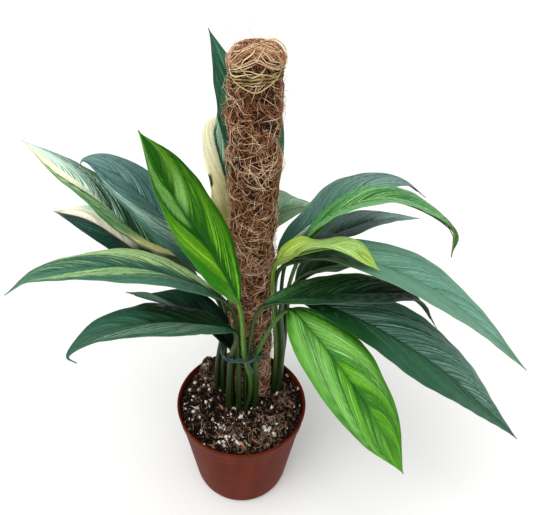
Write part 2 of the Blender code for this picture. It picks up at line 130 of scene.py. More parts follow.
choose()
bpy.ops.mesh.primitive_circle_add(vertices=POT_STEPS, radius=POT_PROFILE[0][0] * MM, fill_type="NGON")
pot = bpy.context.object
bpy.ops.object.mode_set(mode="EDIT")
bpy.ops.mesh.select_all(action="SELECT")
for (radius, height), (wider, higher) in zip(POT_PROFILE, POT_PROFILE[1:]):
    bpy.ops.mesh.extrude_region_move(TRANSFORM_OT_translate={"value": (0, 0, (higher - height) * MM)})
    bpy.ops.transform.resize(value=(wider / radius, wider / radius, 1), center_override=(0, 0, 0))
bpy.ops.mesh.select_all(action="SELECT")
bpy.ops.mesh.normals_make_consistent(inside=False)
bpy.ops.object.mode_set(mode="OBJECT")
for number in range(DRAIN_HOLES):
    turn = 2 * math.pi * number / DRAIN_HOLES
    choose()
    bpy.ops.mesh.primitive_cylinder_add(
        vertices=32, radius=DRAIN_RADIUS * MM, depth=12 * MM,
        location=(DRAIN_CIRCLE * MM * math.cos(turn), DRAIN_CIRCLE * MM * math.sin(turn), 0))
    drill = bpy.context.object
    choose(pot)
    bore = pot.modifiers.new("drain", "BOOLEAN")
    bore.object = drill
    bpy.ops.object.modifier_apply(modifier="drain")
    bpy.data.objects.remove(drill, do_unlink=True)
choose(pot)
bpy.ops.object.shade_smooth_by_angle(angle=math.radians(40))
pot.data.materials.append(polypropylene)
finish_piece(pot, "nursery_pot", "terracotta_plastic", "pot")


# Potting mix: peat and coir crumbs with perlite, loose, and heaped up at the back left.
# It fills the pot to about 6 mm below the rim, and follows the pot's inside down to the floor.
SOIL_CELLS = 170
SOIL_RADIUS = 57.3
SOIL_LEVEL = 94.2
SOIL_LUMP = 1.6
SOIL_HEAP = (-34.0, 42.0, 15.0, 7.5)
SOIL_CLODS = [(2.6, 8, 3.1), (2.0, 3.2, 9.4), (0.9, 1.3, 5.2)]
SOIL_SIDE = [(56.9, 88.0), (55.0, 80.0), (51.0, 52.0), (46.0, 14.0), (43.6, 5.0), (39.6, 2.6)]


def grainy_material(name, size, stops, roughness, specular=0.5, bump=None, stretch=(1, 1, 1), **sockets):
    """Material whose colour, and its bumps if any, follow grains of about size millimetres."""
    made, tree, shader = new_material(name)
    place = add_node(tree, "TexCoord", "Object")
    drawn_out = add_node(tree, "Mapping", "Vector", {"Vector": place, "Scale": stretch})
    grain = add_node(tree, "TexNoise", "Fac", {
        "Vector": drawn_out, "Scale": 1 / (size * MM), "Detail": 3.0, **sockets})
    colour = add_node(tree, "ValToRGB", "Color", {"Fac": grain}, stops)
    tree.links.new(colour, shader.inputs["Base Color"])
    if bump:
        strength, distance = bump
        raised = add_node(tree, "Bump", "Normal", {
            "Height": grain, "Strength": strength, "Distance": distance * MM})
        tree.links.new(raised, shader.inputs["Normal"])
    shader.inputs["Roughness"].default_value = roughness
    shader.inputs["Specular IOR Level"].default_value = specular
    return made


def soil_height(x, y):
    """Height of the soil's surface in millimetres."""
    heap_x, heap_y, heap_height, heap_width = SOIL_HEAP
    fade = min(1.0, max(0.3, (57.5 - math.hypot(x, y)) / 4))
    lumps = math.sin(x * 0.31 + 1.2) * math.cos(y * 0.27 - 0.4) + 0.6 * math.sin(x * 0.13 - y * 0.52)
    heap = heap_height * math.exp(-((x - heap_x) ** 2 + (y - heap_y) ** 2) / heap_width**2)
    clods = sum(rise * noise.noise((x / width, y / width, seed)) for rise, width, seed in SOIL_CLODS)
    return SOIL_LEVEL + SOIL_LUMP * lumps * fade + heap + clods * (0.35 + 0.65 * fade)


# Peat: dark where damp, brown where dried, quite matt, with painted shade, nearly black, in its bumps'
# hollows.
peat = grainy_material("damp_peat_and_hollow_shade", 3.4, [
    (0.38, "050302"), (0.49, "150D09"), (0.57, "2E1F17"), (0.66, "5F4836"), (0.78, "8A705A")],
    0.93, 0.12, bump=(0.9, 1.2), Detail=6.0, Roughness=0.7)

choose()
bpy.ops.mesh.primitive_grid_add(x_subdivisions=SOIL_CELLS, y_subdivisions=SOIL_CELLS, size=2)
soil = bpy.context.object
for vertex in soil.data.vertices:
    x, y, z = vertex.co
    x, y = x * math.sqrt(1 - y * y / 2) * SOIL_RADIUS, y * math.sqrt(1 - x * x / 2) * SOIL_RADIUS
    vertex.co = Vector((x, y, soil_height(x, y))) * MM
bpy.ops.object.mode_set(mode="EDIT")
bpy.ops.mesh.select_all(action="DESELECT")
bpy.ops.mesh.select_mode(type="EDGE")
bpy.ops.mesh.select_non_manifold()
for radius, height in SOIL_SIDE:
    bpy.ops.mesh.extrude_region_move()
    rim = bmesh.from_edit_mesh(soil.data)
    for vertex in rim.verts:
        if vertex.select:
            turn = math.atan2(vertex.co.y, vertex.co.x)
            vertex.co = Vector((radius * math.cos(turn), radius * math.sin(turn), height)) * MM
    bmesh.update_edit_mesh(soil.data)
bpy.ops.mesh.edge_face_add()
bpy.ops.mesh.select_all(action="SELECT")
bpy.ops.mesh.normals_make_consistent(inside=False)
bpy.ops.object.mode_set(mode="OBJECT")
bpy.ops.object.shade_smooth_by_angle(angle=math.radians(60))
soil.data.materials.append(peat)
finish_piece(soil, "potting_mix", "potting_soil", "soil")


# Loose bits on the soil: peat crumbs, damp and dry, white perlite, bark slivers and tan fibres.
# Each kind is shaped once, then scattered, turned and pressed partly into the surface.
PERLITE = 330
PERLITE_GROUPS = [(-51, -4), (-40, -10), (-2, -16), (-21, -29), (-36, 16), (-1, -42), (-14, -41),
                  (24, -26)]
DRY_GROUPS = [(-34, 42), (-38, 38), (38, 8), (30, -22), (22, -40), (-8, -34), (-30, 28)]
GROUPED_SHARE = 0.45
SOIL_EDGE = 56.6
SOIL_SPREAD = 57
POLE_X = 8.8
POLE_Y = 18.0
POLE_CLEARANCE = 15.5
GROUP_WIDTH = 4.0
DAMP_CRUMBS = 1700
DRY_CRUMBS = 1300
SLIVERS = 70
BIG_SLIVER = (1.5, -50.0, 5.0)
ROOTLETS = 620
ROOTLET_POINTS = 6
ROOTLET_SPREAD = 56
ROOTLET_GROUP_WIDTH = 6.0


def lump(seed, subdivisions, roughness, stretch):
    """A small rough stone or crumb of unit size, from an icosphere."""
    choose()
    bpy.ops.mesh.primitive_ico_sphere_add(subdivisions=subdivisions, radius=1)
    piece = bpy.context.object
    for vertex in piece.data.vertices:
        vertex.co *= 1 + roughness * noise.noise(vertex.co * 1.7 + Vector((seed, 2.0, 5.0)))
        vertex.co *= Vector(stretch)
    return piece


def scatter(name, seeds, places, material, slot):
    """Copies the seed shapes to (x, y, z, size, three angles) places, as one piece."""
    work = bmesh.new()
    for number, (x, y, z, size, tilt, roll, spin) in enumerate(places):
        before = len(work.verts)
        work.from_mesh(seeds[number % len(seeds)].data)
        work.verts.ensure_lookup_table()
        move = Matrix.Translation(Vector((x, y, z)) * MM)
        for angle, axis in ((spin, "Z"), (tilt, "Y"), (roll, "X")):
            move = move @ Matrix.Rotation(angle, 4, axis)
        move = move @ Matrix.Scale(size * MM, 4)
        bmesh.ops.transform(work, matrix=move, verts=work.verts[before:])
    mesh = bpy.data.meshes.new(name)
    work.to_mesh(mesh)
    work.free()
    piece = bpy.data.objects.new(name, mesh)
    bpy.context.scene.collection.objects.link(piece)
    mesh.shade_smooth()
    mesh.materials.append(material)
    for seed in seeds:
        bpy.data.objects.remove(seed, do_unlink=True)
    finish_piece(piece, name, slot)


def on_open_soil(x, y):
    return math.hypot(x, y) < SOIL_EDGE and math.hypot(x - POLE_X, y - POLE_Y) > POLE_CLEARANCE


def soil_places(draw, count, sizes, sink, flat=math.pi, groups=None):
    """Seeded places on the open soil, mostly small, some of them gathered in groups."""
    places = []
    while len(places) < count:
        x, y = draw.uniform(-SOIL_SPREAD, SOIL_SPREAD, 2)
        if groups and draw.uniform() < GROUPED_SHARE:
            x, y = np.array(groups[draw.integers(len(groups))]) + draw.normal(0, GROUP_WIDTH, 2)
        if not on_open_soil(x, y):
            continue
        size = sizes[0] + (sizes[1] - sizes[0]) * draw.uniform() ** 2.5
        z = soil_height(x, y) + size * (0.5 - sink)
        places.append((x, y, z, size, *(draw.uniform(-flat, flat, 2)), draw.uniform(0, 2 * math.pi)))
    return places


def strands(name, routes, radii, shades, sides, material, slot, *nodes):
    """Many thin round strands as one mesh, each with its own shade for its material."""
    curve = bpy.data.curves.new(name, "CURVE")
    curve.dimensions = "3D"
    curve.bevel_depth = MM
    curve.bevel_resolution = sides
    curve.use_fill_caps = True
    for route, radius in zip(routes, radii):
        spline = curve.splines.new("POLY")
        spline.points.add(len(route) - 1)
        spline.points.foreach_set("co", [part for point in route for part in (*(point * MM), 1.0)])
        thin = [radius * (0.45 + 0.55 * math.sin(math.pi * (step + 0.6) / (len(route) + 0.2)))
                for step in range(len(route))]
        spline.points.foreach_set("radius", thin)
    piece = bpy.data.objects.new(name, curve)
    bpy.context.scene.collection.objects.link(piece)
    choose(piece)
    bpy.ops.object.convert(target="MESH")
    bpy.ops.object.mode_set(mode="EDIT")
    bpy.ops.mesh.select_all(action="SELECT")
    bpy.ops.mesh.remove_doubles(threshold=0.000001)
    bpy.ops.object.mode_set(mode="OBJECT")
    per_point = len(piece.data.vertices) // sum(len(route) for route in routes)
    every_shade = np.repeat(np.array(shades), [len(route) * per_point for route in routes])
    shade = piece.data.attributes.new("shade", "FLOAT", "POINT")
    shade.data.foreach_set("value", every_shade.astype(np.float32))
    piece.data.shade_smooth()
    piece.data.materials.append(material)
    finish_piece(piece, name, slot, *nodes)


# Expanded perlite: a chalky white glass foam, a little dirty from the peat.
perlite = grainy_material("expanded_perlite", 1.6, [
    (0.36, "9A8C7A"), (0.5, "E3DCCE"), (0.66, "FAF8F2")], 0.85)

# Dry peat: the same crumbs where they have dried out, grey-brown and matt.
dry_peat = grainy_material("dry_peat", 6, [
    (0.36, "2E2018"), (0.5, "59443A"), (0.64, "8C7766")], 0.95, 0.2, Detail=6.0)

# Bark and coir chips: torn slivers, tan to red-brown.
bark = grainy_material("torn_bark", 5, [
    (0.35, "4A2A1E"), (0.52, "8A5A42"), (0.68, "B58A6A")], 0.9, Detail=5.0)

# Rootlets and coir hairs: thin tan fibres lying over the crumbs, paler where they are dry.
rootlet, tree, shader = new_material("tan_rootlets")
shade = add_node(tree, "Attribute", "Fac", attribute_name="shade")
rootlet_colour = add_node(tree, "ValToRGB", "Color", {"Fac": shade}, [
    (0.0, "3E2A1C"), (0.5, "7B5D45"), (1.0, "B79C80")])
tree.links.new(rootlet_colour, shader.inputs["Base Color"])
shader.inputs["Roughness"].default_value = 0.85

draw = np.random.default_rng(12)
crumb_seeds = [lump(7, 1, 0.9, (1, 0.8, 0.6)), lump(8, 1, 1.1, (1, 0.7, 0.7))]
crumb_places = soil_places(draw, DAMP_CRUMBS, (0.6, 3.0), 0.3)
scatter("peat_crumbs", crumb_seeds, crumb_places, peat, "potting_soil")
crumb_seeds = [lump(9, 1, 0.9, (1, 0.7, 0.6)), lump(10, 1, 1.1, (1, 0.5, 0.6))]
crumb_places = soil_places(draw, DRY_CRUMBS, (0.5, 2.4), 0.1, groups=DRY_GROUPS)
scatter("dry_crumbs", crumb_seeds, crumb_places, dry_peat, "potting_soil")
perlite_seeds = [lump(10, 2, 0.9, (1, 0.8, 0.7)), lump(11, 2, 1.2, (1, 0.7, 0.8))]
perlite_places = soil_places(draw, PERLITE, (0.3, 2.1), 0.1, groups=PERLITE_GROUPS)
scatter("perlite_beads", perlite_seeds, perlite_places, perlite, "potting_soil")
sliver_seeds = [lump(14, 2, 0.5, (1, 0.28, 0.16)), lump(15, 2, 0.7, (1, 0.2, 0.2))]
sliver_places = soil_places(draw, SLIVERS, (1.2, 4.6), 0.3, 0.35)
big_x, big_y, big_size = BIG_SLIVER
sliver_places.append((big_x, big_y, soil_height(big_x, big_y) + 2.2, big_size, 0.35, 0.1, math.radians(-55)))
scatter("bark_slivers", sliver_seeds, sliver_places, bark, "potting_soil")
routes = []
while len(routes) < ROOTLETS:
    x, y = draw.uniform(-ROOTLET_SPREAD, ROOTLET_SPREAD, 2)
    if draw.uniform() < 0.5:
        group = DRY_GROUPS[draw.integers(len(DRY_GROUPS))]
        x, y = np.array(group) + draw.normal(0, ROOTLET_GROUP_WIDTH, 2)
    heading = draw.uniform(0, 2 * math.pi)
    bend = draw.normal(0, 0.5)
    step_length = draw.uniform(0.8, 2.8)
    rise = draw.uniform(0.2, 1.8)
    route = []
    for step in range(ROOTLET_POINTS):
        if on_open_soil(x, y):
            arch = rise * math.sin(math.pi * step / (ROOTLET_POINTS - 1))
            route.append(Vector((x, y, soil_height(x, y) + 0.4 + arch)))
        x += step_length * math.cos(heading)
        y += step_length * math.sin(heading)
        heading += bend
    if len(route) == ROOTLET_POINTS:
        routes.append(route)
strands("tan_rootlets", routes, draw.uniform(0.16, 0.34, ROOTLETS), draw.uniform(0, 1, ROOTLETS), 0,
        rootlet, "potting_soil")


# Coir pole: a round stake wrapped in coconut fibre, 32 mm thick, domed at the top.
# The wrap itself is the frame's own solid, and loose fibres are matted all over it here.
# They curl round the lumps of the wrap, and circle on the dome like a nest.
POLE_RADIUS = 15.8
POLE_TOP = 403.0
POLE_LOW = 92.0
NECK_LOW = 381.0
NECK_RADIUS = 15.6
HEAD_START = 396.0
HEAD_RADIUS = 16.2
HEAD_ARC = 19.0
MAT_STRANDS = 6400
MAT_SPLIT = 245.0
MAT_TOP = 402.0
LOOSE_STRANDS = 900
HAIRS = 640
HAIR_RADIUS = 0.13
FIBRE_RADIUS = 0.16
STRAND_POINTS = 5
STRAND_LENGTH = (7, 24)
STRAND_BEND = 0.14
LUMP_WIDTH = 13.0
LUMP_RISE = 3.4
SWIRL = 6.0


def pole_radius(turn, height):
    """Radius of the wrap's lumpy outside in millimetres."""
    if height > NECK_LOW:
        return NECK_RADIUS + 0.6 * min(1.0, max(0.0, (height - 391) / 5))
    fade = min(1.0, max(0.0, (height - 100) / 8), (NECK_LOW - height) / 6 + 0.2)
    swirl = 0.5 * math.sin(2 * turn + height / 11) + 0.35 * math.sin(5 * turn - height / 5.2)
    swirl += 0.35 * math.sin(height / 7.1) + 0.3 * math.sin(3 * turn + height / 3.9)
    return POLE_RADIUS + swirl * fade + 0.5 * max(0.0, height - 100) / 280


def round_pole(turn, reach, height):
    return Vector((POLE_X + reach * math.cos(turn), POLE_Y + reach * math.sin(turn), height))


def on_pole(turn, rise, lift):
    """Point on the wrap, rise millimetres up its side and on over the dome."""
    if rise <= HEAD_START:
        return round_pole(turn, pole_radius(turn, rise) + lift, rise)
    over = min((rise - HEAD_START) / HEAD_ARC, 1.0) * math.pi / 2
    height = HEAD_START + (POLE_TOP - HEAD_START + lift * 0.6) * math.sin(over)
    return round_pole(turn, (HEAD_RADIUS + lift) * math.cos(over), height)


def mound(turn, rise):
    """Height of the loose coir's lumps, from -0.5 in the hollows to 0.5."""
    across = POLE_RADIUS / LUMP_WIDTH
    return noise.noise((across * math.cos(turn), across * math.sin(turn), rise / LUMP_WIDTH))


def ramped(low, high, value):
    """0 below low, 1 above high and a smooth change between."""
    t = min(max((value - low) / (high - low), 0.0), 1.0)
    return t * t * (3 - 2 * t)


def matted(draw, count, low, high, lift, bow):
    """Routes of bent fibres round the wrap's lumps, and their shades, with painted light on lumps and shade
    in hollows.
    """
    routes, shades = [], []
    for number in range(count):
        turn = draw.uniform(0, 2 * math.pi)
        rise = draw.uniform(low, high)
        heading = draw.uniform(0, 2 * math.pi)
        step_length = draw.uniform(*STRAND_LENGTH) / (STRAND_POINTS - 1)
        bend = draw.normal(0, STRAND_BEND)
        base = draw.uniform(*lift)
        arch = draw.uniform(*bow)
        # Painted light and shade: strands on the wrap's lumps are paler and those in its hollows darker.
        shades.append(draw.uniform(0.0, 0.48) + 1.2 * mound(turn, rise) + 0.35 * (draw.uniform() > 0.9))
        calm = 1 - 0.75 * ramped(NECK_LOW - 6, NECK_LOW, rise)
        route = []
        for step in range(STRAND_POINTS):
            here = mound(turn, rise)
            round_slope = (mound(turn + 0.06, rise) - here) / (0.06 * POLE_RADIUS)
            up_slope = mound(turn, rise + 1) - here
            proud = base + (LUMP_RISE * here + arch * math.sin(math.pi * step / (STRAND_POINTS - 1))) * calm
            route.append(on_pole(turn, rise, proud))
            way = Vector((math.cos(heading) - SWIRL * up_slope, math.sin(heading) + SWIRL * round_slope))
            way.normalize()
            turn += way.x * step_length / POLE_RADIUS
            rise += way.y * step_length
            heading += bend
        routes.append(route)
    return routes, shades


def fibre_material(name, size, weight, stops, roughness, specular=0.5):
    """Fibre with a shade for each strand, flecked by noise with grains of about size millimetres."""
    made, tree, shader = new_material(name)
    place = add_node(tree, "TexCoord", "Object")
    shade = add_node(tree, "Attribute", "Fac", attribute_name="shade")
    flecks = add_node(tree, "TexNoise", "Fac", {"Vector": place, "Scale": 1 / (size * MM), "Detail": 3.0})
    flecked = add_node(tree, "Math", "Value", {0: flecks, 1: weight, 2: shade}, operation="MULTIPLY_ADD")
    colour = add_node(tree, "ValToRGB", "Color", {"Fac": flecked}, stops)
    tree.links.new(colour, shader.inputs["Base Color"])
    shader.inputs["Roughness"].default_value = roughness
    shader.inputs["Specular IOR Level"].default_value = specular
    return made


def reclad(node, material):
    """Gives one of the frame's own solids a new material."""
    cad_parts[node].data.materials.clear()
    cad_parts[node].data.materials.append(material)


# Coir: retted coconut husk fibre, mid brown, painted paler where a strand stands proud, as painted light.
coir = fibre_material("coconut_coir", 9, 0.5, [
    (0.05, "341A0F"), (0.35, "73422A"), (0.62, "A56D47"), (0.85, "D09D74"), (1.0, "F2D8B6")], 0.75, 0.3)

# The wrap under the loose fibres: the same coir, pressed, and painted near-black as shade between the
# strands.
packed_coir_painted_shade = grainy_material("packed_coir_painted_shade", 3, [
    (0.38, "0E0704"), (0.54, "2C180F"), (0.7, "5E3822")],
    0.95, 0.2, bump=(1.0, 1.5), Detail=6.0, Roughness=0.7, Distortion=1.5)
reclad("coir_sleeve", packed_coir_painted_shade)

# The stake: sawn softwood, seen only from under the pole.
softwood = grainy_material("sawn_softwood", 1.5, [
    (0.35, "A57C50"), (0.6, "C9A473")], 0.7, stretch=(1, 1, 0.06))
reclad("pole_core", softwood)

draw = np.random.default_rng(7)
for name, low, high in (("coir_mat_lower", POLE_LOW, MAT_SPLIT), ("coir_mat_upper", MAT_SPLIT, MAT_TOP)):
    count = MAT_STRANDS // 2
    routes, shades = matted(draw, count, low, high, (-0.1, 1.1), (0.0, 1.2))
    strands(name, routes, draw.uniform(0.7, 1.4, count) * FIBRE_RADIUS, shades, 0, coir, "coir_fibre")
# The loose fibres stand proud of the mat, and their shades are raised by 0.35 as painted light.
routes, shades = matted(draw, LOOSE_STRANDS, POLE_LOW + 4, 380, (0.9, 1.8), (0.6, 3.6))
strands("coir_loose_fibres", routes, draw.uniform(0.6, 1.1, LOOSE_STRANDS) * FIBRE_RADIUS,
        np.array(shades) + 0.35, 0, coir, "coir_fibre")

# Short hairs that stand out all round the wrap.
routes = []
for number in range(HAIRS):
    turn = draw.uniform(0, 2 * math.pi)
    rise = draw.uniform(POLE_LOW + 4, 398)
    around = draw.normal(0, 0.22)
    up = draw.normal(0, 3.4)
    out = draw.uniform(2.0, 5.6) * (0.6 if rise > NECK_LOW else 1.0)
    routes.append([on_pole(turn + around * part, rise + up * part**1.5, 0.4 + out * part)
                   for part in (0, 0.25, 0.5, 0.75, 1)])
strands("coir_short_hairs", routes, [HAIR_RADIUS] * HAIRS, draw.uniform(0.25, 0.8, HAIRS), 0,
        coir, "coir_fibre")


def on_dome(x, y, lift):
    """Point over the dome's top for a place round the pole's middle, and on down its side."""
    reach = math.hypot(x, y)
    if reach < HEAD_RADIUS:
        rise = (POLE_TOP - HEAD_START) * math.sqrt(1 - (reach / HEAD_RADIUS) ** 2)
        return Vector((POLE_X + x, POLE_Y + y, HEAD_START + rise + lift))
    out = (HEAD_RADIUS + lift) / reach
    return Vector((POLE_X + x * out, POLE_Y + y * out, HEAD_START + HEAD_RADIUS - reach + lift * 0.4))


# Fibres that curl in four nests on the dome, and the few that have sprung out of it.
NEST_STRANDS = 900
NEST_POINTS = 7
NEST_EDGE = 24
NEST_RIPPLE = 1.9
SPRUNG_RADIUS = 0.15
NESTS = [(-7.0, -5.5), (6.5, -6.0), (0.0, 7.0), (11.0, 3.0)]
SPRUNG = [
    [(8, 18, 403), (8.2, 18, 406), (4.5, 18, 411), (7.4, 18, 415), (10.3, 18, 419)],
    [(-3, 16, 398), (-3.3, 17, 403), (-5, 18, 408.4), (-8.6, 18, 411)],
    [(12, 18, 401), (11.8, 18, 405.2), (10.5, 18, 409.5)],
    [(14, 18, 401), (15.4, 18, 404.6), (18.9, 18, 409.8)],
    [(19, 18, 402), (20.2, 18, 405.2), (21.8, 18, 409.5)],
    [(-5, 17, 398), (-3.9, 18, 402), (-2, 18, 405.2), (1, 18, 406.5), (4, 18, 405.7), (6, 17, 403)],
    [(-2, 17, 402), (-3.3, 18, 403.5), (-6.9, 18, 402.4), (-9.4, 18, 399)],
]
routes, shades = [], []
for number in range(NEST_STRANDS):
    middle_x, middle_y = NESTS[number % len(NESTS)]
    turn = draw.uniform(0, 2 * math.pi)
    sweep = draw.uniform(0.7, 2.2) * draw.choice((-1, 1))
    ring = draw.uniform(1.2, 15.0)
    oval = draw.uniform(0.6, 1.0)
    lift = draw.uniform(0.1, 2.2)
    ripple = math.sin(ring * NEST_RIPPLE)
    # Painted light and shade: strands lying higher, by lift and ripple, are paler, and those deep in the
    # nest darker.
    shades.append(draw.uniform(0.1, 0.7) + 0.14 * lift + 0.3 * ripple)
    route = []
    for step in range(NEST_POINTS):
        along = turn + sweep * step / (NEST_POINTS - 1)
        x = middle_x + ring * math.cos(along)
        y = middle_y + ring * oval * math.sin(along)
        reach = math.hypot(x, y)
        if reach > NEST_EDGE:
            x, y = x * NEST_EDGE / reach, y * NEST_EDGE / reach
        route.append(on_dome(x, y, lift + 0.8 * ripple))
    routes.append(route)
strands("coir_nest", routes, draw.uniform(0.9, 1.9, NEST_STRANDS) * FIBRE_RADIUS, shades, 0,
        coir, "coir_fibre")


def smooth_route(points, per_span):
    """Dense points of a rounded curve through the given ones."""
    knots = [Vector(point) for point in points]
    knots = [knots[0] * 2 - knots[1]] + knots + [knots[-1] * 2 - knots[-2]]
    route = []
    for before, start, end, after in zip(knots, knots[1:], knots[2:], knots[3:]):
        span_before = math.sqrt((start - before).length)
        span = math.sqrt((end - start).length)
        span_after = math.sqrt((after - end).length)
        leave = (start - before) / span_before - (end - before) / (span_before + span)
        leave = (end - start) + leave * span
        arrive = (after - end) / span_after - (after - start) / (span + span_after)
        arrive = (end - start) + arrive * span
        for step in range(per_span):
            t = step / per_span
            route.append(start * (2 * t**3 - 3 * t**2 + 1) + leave * (t**3 - 2 * t**2 + t)
                         + end * (3 * t**2 - 2 * t**3) + arrive * (t**3 - t**2))
    route.append(knots[-2])
    return route


routes = [smooth_route(points, 5) for points in SPRUNG]
strands("coir_sprung_hairs", routes, [SPRUNG_RADIUS] * len(routes), [0.75] * len(routes), 0,
        coir, "coir_fibre")


# Twine: natural straw-coloured twine wound round the neck of the pole to hold the wrap.
# Three turns are pulled tight in the neck, and loose thin ends loop over the dome and the front.
TWINE_TURNS = 3
TWINE_RISE = 2.0
TWINE_STEPS = 40
TWINE_PLY = 0.3
FRINGE_STRANDS = 11
LOOPS = [
    (0.42, 2.3, [(310, 404), (315, 401), (319, 397), (327, 393), (328, 390), (318, 386.5), (304, 383.6),
                 (290, 381.2), (276, 379.1), (264, 378.8), (252, 380.1), (236, 382), (222, 384.2),
                 (212, 386.6), (208, 390), (211, 395)]),
    (0.34, 2.2, [(205, 397), (213, 395), (231, 393), (243, 391), (251, 388.6), (258, 387)]),
    (0.36, 2, [(200, 388), (225, 390), (247, 390.7), (261, 390.4), (271, 389.3), (288, 388.6),
               (304, 387.6), (320, 389)]),
    (0.38, 2, [(225, 391), (238, 393.3), (251, 395.2), (265, 397.6), (277, 396.7), (289, 394.1),
               (303, 392.7), (317, 392.2), (332, 394)]),
    (0.3, 2.2, [(258, 387), (264, 387.1), (273, 388.5), (281, 389.8), (289, 393.6)]),
    (0.42, 2, [(300, 411), (270, 409.7), (266, 405.7), (262, 402.4), (255, 399.9), (245, 396.4),
               (238, 392)]),
    (0.26, 1.4, [(238, 382.3), (249, 382.5), (264, 382.2), (278, 382.4), (290, 383)]),
    (0.3, 2.4, [(200, 399), (206, 392), (212, 388), (226, 386.8), (243, 388.3), (262, 389.2)]),
    (0.34, 2, [(160, 396), (120, 392), (80, 390), (40, 393), (0, 396)]),
    (0.3, 2.2, [(150, 388), (110, 393), (70, 397), (30, 393), (-5, 389)]),
    (0.3, 2, [(140, 400), (100, 388), (60, 384), (20, 386), (-20, 392)]),
]
FRINGE = [(9, 14, 404), (16, 17, 405.4), (21, 18, 405.5), (25.2, 18, 403), (27.6, 18, 399.6),
          (28.8, 18, 394), (28.6, 18, 390.5)]

straw = fibre_material("straw_twine", 2.5, 0.5, [
    (0.25, "6E5A34"), (0.5, "A78D5C"), (0.8, "D3B985"), (1.0, "F6EAC6")], 0.8, 0.3)

routes = []
for strand in range(3):
    route = []
    for step in range(TWINE_STEPS * TWINE_TURNS + 1):
        turn = 2 * math.pi * step / TWINE_STEPS
        lay = turn * 9 + 2 * math.pi * strand / 3
        reach = NECK_RADIUS + 1.9 + TWINE_PLY * math.cos(lay)
        height = NECK_LOW + 1.9 + TWINE_RISE * step / TWINE_STEPS + 0.8 * math.sin(turn + 1)
        route.append(round_pole(turn, reach, height + TWINE_PLY * math.sin(lay)))
    routes.append(route)
strands("neck_twine", routes, [0.4] * 3, [0.1, 0.34, 0.0], 1, straw, "straw_twine", "pole_twine")
routes, radii, shades = [], [], []
for number, (thick, lift, stops) in enumerate(LOOPS):
    knots = [on_pole(math.radians(turn), rise, lift) for turn, rise in stops]
    routes.append(smooth_route(knots, 5))
    radii.append(thick)
    shades.append(0.42 + 0.04 * number)
draw = np.random.default_rng(19)
for number in range(FRINGE_STRANDS):
    shift = Vector(draw.normal(0, 0.9, 3)) + Vector((-0.25, 0.5, -0.3)) * number
    knots = [Vector(point) + shift * min(1.0, 0.2 + place * 0.25) for place, point in enumerate(FRINGE)]
    routes.append(smooth_route(knots[:7 - number % 3], 4))
    radii.append(0.26)
    shades.append(0.6 + 0.03 * number)
strands("loose_straw_loops", routes, radii, shades, 1, straw, "straw_twine")


# Leaves: nineteen long lance-shaped blades on channelled stalks, from four crowns in the soil.
# Each grew from its own stalk, which runs on under the blade as its midrib.
# Side veins leave the midrib slantwise and sweep forward, and the blade is pleated along them.
BLADE_THICKNESS = 0.55
BLADE_CELLS_ALONG = 150
BLADE_CELLS_ACROSS = 26
WIDEST = 0.42
MIDRIB_CROWDING = 1.3
BULGE = 0.05
GROOVE_DEPTH = 0.7
GROOVE_WIDTH = 1.2
EDGE_RIPPLE = 0.025
EDGE_WAVES = 3.3
THINNEST = 0.35
STALK_SIDES = 14
# The stalks' foot colour, nearly black, is painted shade under the leaves.
STALK_FOOT_SHADE = "1A2A0A"
STALK_CELLS = 34
STALK_FOOT_RADIUS = 3.3
STALK_THROAT_RADIUS = 2.1
STALK_WIDTH = 1.12
STALK_DEPTH = 0.88
CHANNEL_DEPTH = 0.55
RIB_END = 0.92
RIB_CELLS = 22
RIB_FRAMES = 40
VEIN_START = 0.27
VEIN_SWEEP = 0.25
SPAN_STEPS = 12
PORT, BOTH, STARBOARD = -1, 0, 1

